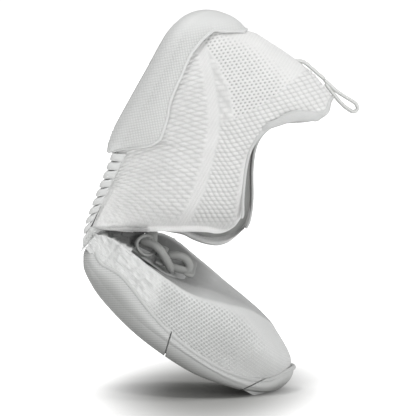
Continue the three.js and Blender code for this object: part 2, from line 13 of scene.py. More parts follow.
import bmesh
import bpy
import numpy as np
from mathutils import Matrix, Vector


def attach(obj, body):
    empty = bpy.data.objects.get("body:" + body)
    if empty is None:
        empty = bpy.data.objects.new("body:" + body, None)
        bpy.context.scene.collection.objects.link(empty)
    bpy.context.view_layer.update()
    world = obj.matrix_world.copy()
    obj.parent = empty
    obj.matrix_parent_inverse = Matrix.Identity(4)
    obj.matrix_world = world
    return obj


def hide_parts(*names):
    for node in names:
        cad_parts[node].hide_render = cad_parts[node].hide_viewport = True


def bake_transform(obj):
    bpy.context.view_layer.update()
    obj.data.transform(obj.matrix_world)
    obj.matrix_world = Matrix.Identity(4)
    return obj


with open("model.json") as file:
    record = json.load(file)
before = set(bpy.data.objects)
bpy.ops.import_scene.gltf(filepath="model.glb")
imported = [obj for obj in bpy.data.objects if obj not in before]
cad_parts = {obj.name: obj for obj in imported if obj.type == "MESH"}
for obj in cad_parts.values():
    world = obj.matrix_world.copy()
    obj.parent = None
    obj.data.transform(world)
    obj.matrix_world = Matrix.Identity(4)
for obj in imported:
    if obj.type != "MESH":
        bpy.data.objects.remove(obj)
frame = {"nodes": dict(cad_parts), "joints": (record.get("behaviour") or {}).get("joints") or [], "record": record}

log = logging.getLogger("trainer")
MM = 0.001
Array = np.ndarray
SOCKET = bpy.types.NodeSocket


# ------------------------------------------------------------------------------- numbers and curves
def smoothstep(value: Array, low: float, high: float) -> Array:
    """A soft step from 0 at low to 1 at high."""
    t = np.clip((np.asarray(value, float) - low) / (high - low), 0.0, 1.0)
    return t * t * (3.0 - 2.0 * t)


def resample(path: Array, count: int) -> Array:
    """Points spaced evenly along a path.

    Args:
        path: points in order, one a row.
        count: how many points to return.

    Returns:
        The evenly spaced points.
    """
    run = np.r_[0.0, np.cumsum(np.linalg.norm(np.diff(path, axis=0), axis=1))]
    want = np.linspace(0.0, run[-1], count)
    return np.stack([np.interp(want, run, path[:, k]) for k in range(path.shape[1])], 1)


def spline(points: list, count: int = 400, closed: bool = False) -> Array:
    """A smooth curve through points.

    Args:
        points: the corners it passes through.
        count: how many points to return, evenly spaced.
        closed: whether the last point joins the first.

    Returns:
        Points on the curve.
    """
    p = np.asarray(points, float)
    if closed:
        ends, spans = np.vstack([p[-1:], p, p[:2]]), len(p)
    else:
        ends, spans = np.vstack([2 * p[0] - p[1], p, 2 * p[-1] - p[-2]]), len(p) - 1
    t = np.linspace(0.0, spans, spans * 30 + 1)
    i = np.minimum(t.astype(int), spans - 1)
    f = (t - i)[:, None]
    a, b, c, d = ends[i], ends[i + 1], ends[i + 2], ends[i + 3]
    curve = 0.5 * (2 * b + (c - a) * f + (2 * a - 5 * b + 4 * c - d) * f**2
                   + (3 * b - a - 3 * c + d) * f**3)
    return resample(curve, count)


class Edge:
    """A height that changes smoothly along one axis."""

    def __init__(self, points: list) -> None:
        """Keeps the curve through points of (where, height)."""
        curve = spline(points, 500)
        order = np.argsort(curve[:, 0])
        self.where, self.height = curve[order, 0], curve[order, 1]

    def at(self, where: Array) -> Array:
        """The height at each place."""
        return np.interp(where, self.where, self.height)


def value_noise(x: Array, y: Array, seed: int) -> Array:
    """Smooth seeded noise from -1 to 1, one lump per unit."""
    lattice = np.random.default_rng(seed).uniform(-1.0, 1.0, (128, 128))
    xi, yi = np.floor(x).astype(int), np.floor(y).astype(int)
    fx, fy = x - xi, y - yi
    fx, fy = fx * fx * (3 - 2 * fx), fy * fy * (3 - 2 * fy)
    pick = lambda i, j: lattice[np.mod(i, 128), np.mod(j, 128)]
    low = pick(xi, yi) * (1 - fx) + pick(xi + 1, yi) * fx
    high = pick(xi, yi + 1) * (1 - fx) + pick(xi + 1, yi + 1) * fx
    return low * (1 - fy) + high * fy


def crumple(x: Array, y: Array, seed: int, size: float) -> Array:
    """Sharp-edged creases, as in knit that is pushed together, from 0 to about 1."""
    total = np.zeros_like(np.asarray(x, float))
    weight, scale = 1.0, 1.0 / size
    for octave in range(3):
        total += weight * np.abs(value_noise(x * scale, y * scale, seed + octave))
        weight, scale = weight * 0.55, scale * 2.05
    return total / 1.3


# --------------------------------------------------------------------------------- the shoe's frame
class Half:
    """One half of the folded shoe, which turns flat millimetres into the part's frame."""

    def __init__(self, hinge: Vector, tread: Vector) -> None:
        """Keeps the half's axes.

        Args:
            hinge: a point on the fold's axis.
            tread: the outward direction of the half's tread.
        """
        self.origin = np.array(hinge, float)
        self.up = -np.array(tread, float)
        self.up /= np.linalg.norm(self.up)
        self.side = np.array([0.0, 1.0, 0.0])
        self.along = np.cross(self.side, self.up)

    def place(self, flat: Array) -> Array:
        """Flat points in millimetres as points of the part in metres."""
        f = np.asarray(flat, float) * MM
        return (self.origin + f[..., :1] * self.along + f[..., 1:2] * self.side
                + f[..., 2:3] * self.up)

    def turn(self, flat: Array) -> Array:
        """A flat direction as a direction of the part."""
        return self.place(np.asarray(flat, float) / MM) - self.origin


def joint_point(name: str) -> Vector:
    """A point on a joint's axis, in metres."""
    return Vector(next(j["pos_m"] for j in frame["joints"] if j["name"] == name))


def mount_axis(name: str) -> Vector:
    """The direction that a mount faces."""
    return Vector(next(m["axis"] for m in frame["record"]["mounts"] if m["name"] == name))


FOLD = joint_point("arch_flex")
HEEL = Half(FOLD, mount_axis("heel_tread_face"))
FORE = Half(FOLD, mount_axis("ball_tread_face"))
OPEN_WAY = np.array([-0.198, 0.0, 0.980])  # across the fold, from the forefoot to the heel half


def standing(point: Array) -> Array:
    """Millimetres right of and above the fold's axis, for points of the part in metres."""
    return (np.asarray(point) - np.array(FOLD)) / MM


# ------------------------------------------------------------------------------------------- meshes
def turned(base: Array) -> tuple[Array, Array, Array]:
    """Unit directions across a grid of points: along its columns, up its rows and out of it."""
    across = np.gradient(base, axis=1)
    upward = np.gradient(base, axis=0)
    out = np.cross(across, upward)
    unit = lambda v: v / np.maximum(np.linalg.norm(v, axis=-1, keepdims=True), 1e-9)
    return unit(across), unit(upward), unit(out)


def lengths(base: Array) -> Array:
    """Millimetres of cloth along the columns and up the rows of a grid, for each point."""
    step_u = np.linalg.norm(np.diff(base, axis=1), axis=-1)
    step_v = np.linalg.norm(np.diff(base, axis=0), axis=-1)
    rows, cols = base.shape[:2]
    u = np.concatenate([np.zeros((rows, 1)), np.cumsum(step_u, axis=1)], 1)
    v = np.concatenate([np.zeros((1, cols)), np.cumsum(step_v, axis=0)], 0)
    middle = u[:, cols // 2:cols // 2 + 1]
    return np.stack([u - middle, v], -1)


@dataclass
class Skin:
    """A grid of points in the part's frame, with its cloth lengths and its marks."""

    points: Array
    cloth: Array
    marks: dict[str, Array] = field(default_factory=dict)

    def build(self, name: str, finish: "Finish", weld: bool = False) -> bpy.types.Object:
        """Makes the mesh object.

        Args:
            name: the piece's name.
            finish: the finish it wears.
            weld: whether points that meet are joined.

        Returns:
            The object, linked to the scene.
        """
        rows, cols = self.points.shape[:2]
        index = np.arange(rows * cols).reshape(rows, cols)
        quads = np.stack([index[:-1, :-1], index[:-1, 1:], index[1:, 1:], index[1:, :-1]], -1)
        quads = quads.reshape(-1, 4)
        mesh = bpy.data.meshes.new(name)
        mesh.vertices.add(rows * cols)
        mesh.vertices.foreach_set("co", self.points.reshape(-1))
        mesh.loops.add(quads.size)
        mesh.loops.foreach_set("vertex_index", quads.reshape(-1))
        mesh.polygons.add(len(quads))
        mesh.polygons.foreach_set("loop_start", np.arange(0, quads.size, 4))
        mesh.polygons.foreach_set("use_smooth", np.ones(len(quads), bool))
        mesh.update(calc_edges=True)
        layer = mesh.uv_layers.new(name="UVMap")
        layer.data.foreach_set("uv", self.cloth.reshape(-1, 2)[quads.reshape(-1)].reshape(-1))
        for mark, values in self.marks.items():
            slot = mesh.attributes.new(mark, "FLOAT", "POINT")
            slot.data.foreach_set("value", values.reshape(-1).astype(np.float32))
        if weld:
            shape = bmesh.new()
            shape.from_mesh(mesh)
            bmesh.ops.remove_doubles(shape, verts=shape.verts, dist=2e-6)
            shape.to_mesh(mesh)
            shape.free()
        piece = bpy.data.objects.new(name, mesh)
        bpy.context.scene.collection.objects.link(piece)
        mesh.materials.append(finish.material())
        log.info("%s: %d faces", name, len(mesh.polygons))
        return piece


def sweep(path: Array, wide: float | Array, thick: float | Array, name: str, finish: "Finish",
          face: tuple[float, float, float] = (0.0, 1.0, 0.0), sides: int = 20,
          ) -> bpy.types.Object:
    """A flat or round cord along a path.

    Args:
        path: points in the part's frame, in metres.
        wide: half its width, in metres, one number or one for each point.
        thick: half its thickness, in metres, in the same way.
        name: the piece's name.
        finish: the finish it wears.
        face: the direction that its width keeps to.
        sides: points round its section.

    Returns:
        The object, with closed ends.
    """
    tangent = np.gradient(path, axis=0)
    tangent /= np.linalg.norm(tangent, axis=1, keepdims=True)
    broad = np.array(face, float) - tangent * (tangent @ np.array(face, float))[:, None]
    broad /= np.linalg.norm(broad, axis=1, keepdims=True)
    flat = np.cross(tangent, broad)
    turn = np.linspace(0.0, 2 * math.pi, sides + 1)
    run = np.r_[0.0, np.cumsum(np.linalg.norm(np.diff(path, axis=0), axis=1))]
    reach = np.clip(np.minimum(run, run[-1] - run) / np.minimum(wide, thick), 0.0, 1.0)
    dome = np.sqrt(1.0 - (1.0 - reach) ** 2)
    ring = (np.cos(turn)[None, :, None] * broad[:, None] * np.reshape(wide * dome, (-1, 1, 1))
            + np.sin(turn)[None, :, None] * flat[:, None] * np.reshape(thick * dome, (-1, 1, 1)))
    points = np.concatenate([np.repeat(path[:1, None], sides + 1, 1), path[:, None] + ring,
                             np.repeat(path[-1:, None], sides + 1, 1)], 0)
    points = points[:, ::-1]
    return Skin(points, lengths(points / MM)).build(name, finish, weld=True)


def tell(nodes: tuple) -> None:
    """Hides the CAD nodes that a piece stands for."""
    if nodes:
        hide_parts(*nodes)


def ride(piece: bpy.types.Object, body: str, slot: str, *nodes: str,
         fill: float | None = None) -> bpy.types.Object:
    """Fixes a piece to one body, and hides the CAD nodes that it stands for."""
    tell(nodes)
    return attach(piece, body)


def bend(piece: bpy.types.Object, bodies: tuple[str, str], slot: str, ends: list, *nodes: str,
         fill: float | None = None) -> None:
    """Bakes a piece's place into its mesh, and hides the CAD nodes that it stands for.

    Args:
        piece: the piece.
        bodies: the two bodies; not used.
        slot: its material slot; not used.
        ends: the points of the part where the blend starts and ends; not used.
        nodes: the CAD nodes that it stands for.
        fill: how full it is, if it is padded; not used.
    """
    tell(nodes)
    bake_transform(piece)


# ---------------------------------------------------------------------------------------- materials
def linear(code: str) -> tuple[float, float, float, float]:
    """An sRGB hex colour as linear red, green, blue and alpha."""
    parts = [int(code[i:i + 2], 16) / 255.0 for i in (1, 3, 5)]
    return (*[p / 12.92 if p <= 0.04045 else ((p + 0.055) / 1.055) ** 2.4 for p in parts], 1.0)


def add(tree: bpy.types.NodeTree, kind: str, values: dict | None = None,
        links: dict | None = None, **settings: object) -> bpy.types.Node:
    """Adds one node.

    Args:
        tree: the tree that it joins.
        kind: Blender's name for the node.
        values: numbers and colours by socket.
        links: the sockets that feed its sockets.
        settings: its own properties.

    Returns:
        The node.
    """
    node = tree.nodes.new(kind)
    for key, value in settings.items():
        setattr(node, key, value)
    for key, value in (values or {}).items():
        node.inputs[key].default_value = value
    for key, source in (links or {}).items():
        tree.links.new(source, node.inputs[key])
    return node


class Grain(Enum):
    """How a surface was made, which sets its finest relief."""

    KNIT = "stocking-stitch knit"
    BRUSHED = "brushed tricot"
    MOULDED = "moulded rubber"
    BRAID = "tubular braid"
    FOAM = "expanded foam"
    FIBRE = "pressed fibre"


@dataclass(frozen=True)
class Finish:
    """A real material and how it was made, with the look that it gives."""

    name: str
    light: str
    # the dark tone, which painted shade mixes towards
    dark: str
    grain: Grain
    pitch: float  # mm between threads, grains or cells
    depth: float  # mm of the finest relief
    roughness: float
    ior: float = 1.5
    sheen: float = 0.0
    wander: float = 0.05  # how far the colour drifts from place to place
    cloth: bool = True  # follows the piece's cloth lengths, not its place

    def relief(self, tree: bpy.types.NodeTree, where: SOCKET) -> SOCKET:
        """The finest relief of the grain as one height socket.

        Args:
            tree: the material's nodes.
            where: coordinates in millimetres.

        Returns:
            The height, from 0 to 1.
        """
        scale = 1.0 / self.pitch
        if self.grain in (Grain.KNIT, Grain.BRAID):
            across = add(tree, "ShaderNodeTexWave", {"Scale": scale / 3.2, "Distortion": 1.2,
                                                     "Detail": 1.0, "Detail Scale": 1.5},
                         {"Vector": where}, wave_type="BANDS", bands_direction="X")
            along = add(tree, "ShaderNodeTexWave", {"Scale": scale / 3.2, "Distortion": 1.6,
                                                    "Detail": 1.0, "Detail Scale": 2.0},
                        {"Vector": where}, wave_type="BANDS",
                        bands_direction="DIAGONAL" if self.grain is Grain.BRAID else "Y")
            return add(tree, "ShaderNodeMath", links={0: across.outputs["Fac"],
                                                      1: along.outputs["Fac"]},
                       operation="MULTIPLY").outputs[0]
        if self.grain is Grain.FOAM:
            return add(tree, "ShaderNodeTexVoronoi", {"Scale": scale},
                       {"Vector": where}, feature="SMOOTH_F1").outputs["Distance"]
        stretch = {Grain.BRUSHED: (1.0, 0.25, 1.0), Grain.FIBRE: (1.0, 0.15, 1.0)}
        moved = add(tree, "ShaderNodeMapping", {"Scale": stretch.get(self.grain, (1, 1, 1))},
                    {"Vector": where})
        return add(tree, "ShaderNodeTexNoise", {"Scale": scale, "Detail": 3.0, "Roughness": 0.6},
                   {"Vector": moved.outputs[0]}).outputs["Fac"]

    def material(self) -> bpy.types.Material:
        """The material, made once and shared."""
        known = bpy.data.materials.get(self.name)
        if known:
            return known
        made = bpy.data.materials.new(self.name)
        made.use_nodes = True
        tree = made.node_tree
        tree.nodes.clear()
        place = add(tree, "ShaderNodeTexCoord").outputs["UV" if self.cloth else "Object"]
        if not self.cloth:
            place = add(tree, "ShaderNodeVectorMath", {1: (1 / MM,) * 3}, {0: place},
                        operation="MULTIPLY").outputs[0]
        fine = self.relief(tree, place)
        drift = add(tree, "ShaderNodeTexNoise", {"Scale": 0.11, "Detail": 3.0},
                    {"Vector": place}).outputs["Fac"]
        worn = add(tree, "ShaderNodeMapRange", {"From Min": 0.3, "From Max": 0.7,
                                                "To Min": 1.0 - self.wander, "To Max": 1.0},
                   {"Value": drift}).outputs[0]
        thread = add(tree, "ShaderNodeMapRange", {"From Min": 0.0, "From Max": 0.8,
                                                  "To Min": 1.0 - 1.2 * self.wander,
                                                  "To Max": 1.0}, {"Value": fine}).outputs[0]
        shade = add(tree, "ShaderNodeMath", links={0: worn, 1: thread},
                    operation="MULTIPLY").outputs[0]
        # Painted shade: each piece's mark mixes the colour towards the dark tone, in holes, grooves, folds and low
        # places.
        painted_shade = add(tree, "ShaderNodeAttribute", attribute_name="painted_shade").outputs["Fac"]
        body = add(tree, "ShaderNodeMix", {6: linear(self.light), 7: linear(self.dark)},
                   {0: painted_shade}, data_type="RGBA")
        tinted = add(tree, "ShaderNodeVectorMath", links={0: body.outputs[2]}, operation="SCALE")
        tree.links.new(shade, tinted.inputs["Scale"])
        bump = add(tree, "ShaderNodeBump", {"Strength": 0.6, "Distance": self.depth * MM},
                   {"Height": fine}).outputs[0]
        rough = add(tree, "ShaderNodeMapRange", {"To Min": self.roughness - 0.06,
                                                 "To Max": self.roughness + 0.05},
                    {"Value": fine}).outputs[0]
        shader = add(tree, "ShaderNodeBsdfPrincipled",
                     {"IOR": self.ior, "Sheen Weight": self.sheen, "Sheen Roughness": 0.5},
                     {"Base Color": tinted.outputs[0], "Roughness": rough, "Normal": bump})
        add(tree, "ShaderNodeOutputMaterial", links={"Surface": shader.outputs[0]})
        return made


# Polyester knit, full white and soft; its dark tone is painted shade, in the holes, between the raised strokes and
# towards the foot of the heel wall.
KNIT = Finish("polyester_knit", "#ebebea", "#8d8e8d", Grain.KNIT, 0.8, 0.12, 0.85, sheen=0.25)
# The forefoot's yarn: a darker copy of the knit with the fold's shade painted in, and its dark tone, much darker,
# is painted shade in the hollows.
SHADED_FORE_YARN = Finish("polyester_knit_forefoot_painted_shade", "#e2e3e2", "#5e5f5e", Grain.KNIT, 0.8, 0.12, 0.85,
                   sheen=0.25)
# The same knit pressed smooth by the last, round the collar and the padded parts, in a greyer copy whose grey is
# painted shade.
PADDED = Finish("brushed_knit_over_foam", "#cfd0cf", "#8a8b8a", Grain.KNIT, 0.7, 0.05, 0.88,
                sheen=0.3)
# Brushed tricot inside the shoe: grey, because light hardly reaches it, and napped one way.
LINING = Finish("brushed_tricot_lining", "#a3a4a2", "#5f605e", Grain.BRUSHED, 0.6, 0.08, 0.95,
                sheen=0.35)
# Injection-moulded rubber: even grey-white, with a soft low gloss and a fine spark-eroded grain.
# Its dark tone is painted shade: in the waffle's grooves, in the tread's grooves and over the lower rim.
RUBBER = Finish("moulded_rubber", "#d9dad9", "#8c8d8b", Grain.MOULDED, 0.5, 0.03, 0.55, 1.52,
                wander=0.03)
# Tread rubber has been scuffed flat, so it is duller and a little greyer.
# Its dark tone is painted shade in the grooves between the tread bars.
TREAD = Finish("scuffed_tread_rubber", "#bdbebc", "#6f706e", Grain.MOULDED, 0.9, 0.08, 0.8, 1.52,
               wander=0.1, cloth=False)
# Braided polyester lace, grey with painted shade, because it lies in the fold.
LACE = Finish("braided_polyester_lace", "#9d9e9c", "#5a5b59", Grain.BRAID, 0.9, 0.15, 0.85,
              sheen=0.2)
# Woven pull tape, a tighter and brighter weave.
TAPE = Finish("woven_pull_tape", "#dcdddb", "#8e8f8d", Grain.BRAID, 0.8, 0.12, 0.8, sheen=0.15)
# Expanded foam: satin, with closed cells.
FOAM = Finish("expanded_foam", "#efeee9", "#c9c8c2", Grain.FOAM, 1.2, 0.05, 0.7, cloth=False)
# Pressed fibre lasting board: matt tan, with fibres that lie along the shoe.
BOARD = Finish("pressed_fibre_board", "#b0a592", "#8d8271", Grain.FIBRE, 0.5, 0.05, 0.9,
               wander=0.12, cloth=False)


# ---------------------------------------------------------------------------------------- heel half
class Side(Enum):
    """The two long sides of the right shoe, with their direction across it."""

    LATERAL = -1
    MEDIAL = 1


@dataclass
class HeelShape:
    """The knit of the heel half: its plan, its profile and its edges, in flat millimetres."""

    plan: list = field(default_factory=lambda: [
        (12, -33), (-12, -30), (-36, -29), (-62, -30.5), (-88, -31), (-108, -27), (-122, -17),
        (-128.2, 0), (-122, 17), (-108, 26.5), (-88, 30), (-62, 28), (-36, 25.5), (-12, 26),
        (12, 29)])
    anchor: float = -60.0
    rear: float = -128.2
    profile: list = field(default_factory=lambda: [  # height, rearmost x, width factor
        (-16, -108, 0.84), (-7, -119, 0.89), (3, -123.4, 0.92), (13, -124.4, 0.96),
        (20, -125.9, 0.97), (34, -125.0, 0.95), (45, -123.9, 0.9), (56, -121.2, 0.86),
        (67, -116.6, 0.8)])
    foot: list = field(default_factory=lambda: [  # x, height
        (-135, -8), (-60, -8), (-54, -9.5), (-48, -11), (-44.5, -9.0), (-41, -6.4), (-30, -5.0),
        (-9, -2.9), (0, -2.0)])
    fold_lateral: list = field(default_factory=lambda: [  # height, x
        (-9, -6), (-2.9, -9), (1.4, -10.9), (9.3, -15.8), (21.5, -22.6), (33.7, -29.3),
        (44.1, -34.6), (51.3, -36.9), (55.1, -40.6), (56.2, -46.1)])
    fold_medial: list = field(default_factory=lambda: [
        (-9, -6), (-2.9, -9), (9.3, -14.2), (21.5, -19.6), (28.5, -22.5), (35, -24.6),
        (41, -25), (47, -26.2), (53, -29), (57.5, -33.5), (60.4, -40)])
    collar_lateral: list = field(default_factory=lambda: [  # x, height
        (-130, 66), (-116, 65.4), (-110, 66.1), (-104.6, 61.1), (-99.7, 53.2), (-93.9, 48.5),
        (-88.5, 44.9), (-77.7, 44.2), (-68.4, 46.6), (-55.5, 52.2), (-49.4, 55.6),
        (-46.1, 56.2), (-30, 56.2)])
    collar_medial: list = field(default_factory=lambda: [
        (-130, 66), (-116, 65.6), (-110, 66.4), (-104.6, 61.6), (-98, 53), (-90, 46.5),
        (-79.5, 45), (-68.2, 48.8), (-54, 56.7), (-45, 60.2), (-40, 60.4), (-20, 60.4)])

    def __post_init__(self) -> None:
        """Keeps the plan as a dense curve with its length in shares."""
        self.curve = spline(self.plan, 1600)
        self.share = np.linspace(0.0, 1.0, len(self.curve))
        self.rear_share = self.share[np.argmin(self.curve[:, 0])]

    def share_at(self, side: Side, x: Array) -> Array:
        """Where along the plan one side reaches x, in front of the anchor."""
        half = self.share < self.rear_share if side is Side.LATERAL else (
            self.share >= self.rear_share)
        xs, shares = self.curve[half, 0], self.share[half]
        order = np.argsort(xs)
        return np.interp(x, xs[order], shares[order])

    def point(self, share: Array, height: Array, grow: float | Array = 0.0) -> Array:
        """Flat points on the wall.

        Args:
            share: where along the plan.
            height: height above the fold's axis.
            grow: how far outside the wall.

        Returns:
            The points, one for each share and height.
        """
        rows = np.array(self.profile, float)
        far = np.interp(height, rows[:, 0], rows[:, 1])
        wide = np.interp(height, rows[:, 0], rows[:, 2])
        x = np.interp(share, self.share, self.curve[:, 0])
        y = np.interp(share, self.share, self.curve[:, 1])
        slope = np.stack([np.interp(share, self.share, np.gradient(self.curve[:, k]))
                          for k in (0, 1)], -1)
        slope /= np.linalg.norm(slope, axis=-1, keepdims=True)
        long = (far - self.anchor) / (self.rear - self.anchor)
        x = np.where(x < self.anchor, self.anchor + (x - self.anchor) * long, x)
        return np.stack([x + slope[..., 1] * grow, y * wide - slope[..., 0] * grow,
                         height + 0.0 * share], -1)

    def collar(self, share: Array, x: Array) -> Array:
        """The collar's height above x, eased from one side to the other round the heel."""
        lateral = Edge(self.collar_lateral).at(x)
        medial = Edge(self.collar_medial).at(x)
        part = smoothstep(share, self.rear_share - 0.06, self.rear_share + 0.06)
        return lateral * (1 - part) + medial * part

    def wall(self, rows: int, cols: int, inset: float = 0.0, drop: float = 0.0,
             raised: float = 0.0) -> Array:
        """The wall's grid of flat points, from its foot to the collar.

        Args:
            rows: points up the wall.
            cols: points round it, from the lateral fold to the medial one.
            inset: how far the fold's edges are drawn back.
            drop: how far below the collar it ends.
            raised: how far above the foot it starts.

        Returns:
            The grid.
        """
        foot = Edge(self.foot)
        low = np.full((1, cols), -5.0)
        v = np.linspace(0.0, 1.0, rows)[:, None]
        u = np.linspace(0.0, 1.0, cols)[None, :]
        top = np.full((1, cols), 55.0)
        front = {side: Edge(points) for side, points in (
            (Side.LATERAL, self.fold_lateral), (Side.MEDIAL, self.fold_medial))}
        height = low + (top - low) * v
        for _ in range(12):
            height = low + (top - low) * v
            start = self.share_at(Side.LATERAL, front[Side.LATERAL].at(height[:, :1]) - inset)
            end = self.share_at(Side.MEDIAL, front[Side.MEDIAL].at(height[:, -1:]) - inset)
            share = start + (end - start) * u
            points = self.point(share, height)
            reach = self.collar(share[-1:], points[-1:, :, 0]) - drop
            top = 0.5 * top + 0.5 * reach
            low = 0.5 * low + 0.5 * (foot.at(points[:1, :, 0]) + raised)
        return points


def curled(base: Array, edge: str, reach: float, radius: float, most: float,
           count: int) -> Array:
    """A hem that rolls inwards from one edge of a grid.

    Args:
        base: the grid, in any frame of millimetres, with its normals outwards.
        edge: "start" or "end" for its first or last column, "top" for its last row.
        reach: millimetres of cloth in the hem.
        radius: the roll's radius.
        most: the angle at which the roll becomes straight.
        count: rows or columns in the hem.

    Returns:
        The hem's points, in order away from the edge.
    """
    across, upward, out = turned(base)
    line, ahead, outward = {
        "start": (base[:, 0], -across[:, 0], out[:, 0]),
        "end": (base[:, -1], across[:, -1], out[:, -1]),
        "top": (base[-1], upward[-1], out[-1]),
    }[edge]
    run = np.gradient(line, axis=0)
    run /= np.maximum(np.linalg.norm(run, axis=1, keepdims=True), 1e-9)
    ahead = ahead - run * np.sum(ahead * run, axis=1, keepdims=True)
    ahead /= np.maximum(np.linalg.norm(ahead, axis=1, keepdims=True), 1e-9)
    k = np.linspace(0.0, reach, count + 1)[1:]
    angle = np.minimum(k / radius, most)
    rest = k - radius * angle
    forward = radius * np.sin(angle) + rest * np.cos(angle)
    inward = radius * (1 - np.cos(angle)) + rest * np.sin(angle)
    place = np.linspace(0.0, 1.0, len(line))
    taper = (0.06 + 0.94 * smoothstep(place, 0.0, 0.12) * smoothstep(1 - place, 0.0, 0.16))
    hem = line[:, None] + taper[:, None, None] * (
        ahead[:, None] * forward[None, :, None] - outward[:, None] * inward[None, :, None])
    return hem if edge != "top" else hem.transpose(1, 0, 2)


def lattice(x: Array, y: Array, wide: float, tall: float, size: float) -> Array:
    """Round holes on staggered rows, from 0 between them to 1 at their middles."""
    a, b = x / wide + y / tall, x / wide - y / tall
    fa, fb = a - np.round(a), b - np.round(b)
    dx, dy = (fa + fb) * wide / 2, (fa - fb) * tall / 2
    return 1.0 - smoothstep(np.hypot(dx, dy), size * 0.45, size)


def strokes(x: Array, y: Array, long: float, tall: float, slant: float) -> Array:
    """Rows of short raised strokes, staggered row by row.

    Args:
        x: millimetres along the rows.
        y: millimetres across the rows.
        long: from one stroke to the next in a row.
        tall: from row to row.
        slant: how far each stroke leans, in mm of height per mm of length.

    Returns:
        The relief, from 0 in the gaps to 1 on the strokes.
    """
    row = np.floor(y / tall)
    shifted = x / long + 0.5 * np.mod(row, 2) + 0.35 * (y / tall - row) * slant
    bar = np.sin(math.pi * (shifted - np.floor(shifted)))
    body = np.sin(math.pi * (y / tall - row))
    return np.clip(bar, 0, 1) ** 0.6 * np.clip(body, 0, 1) ** 0.6


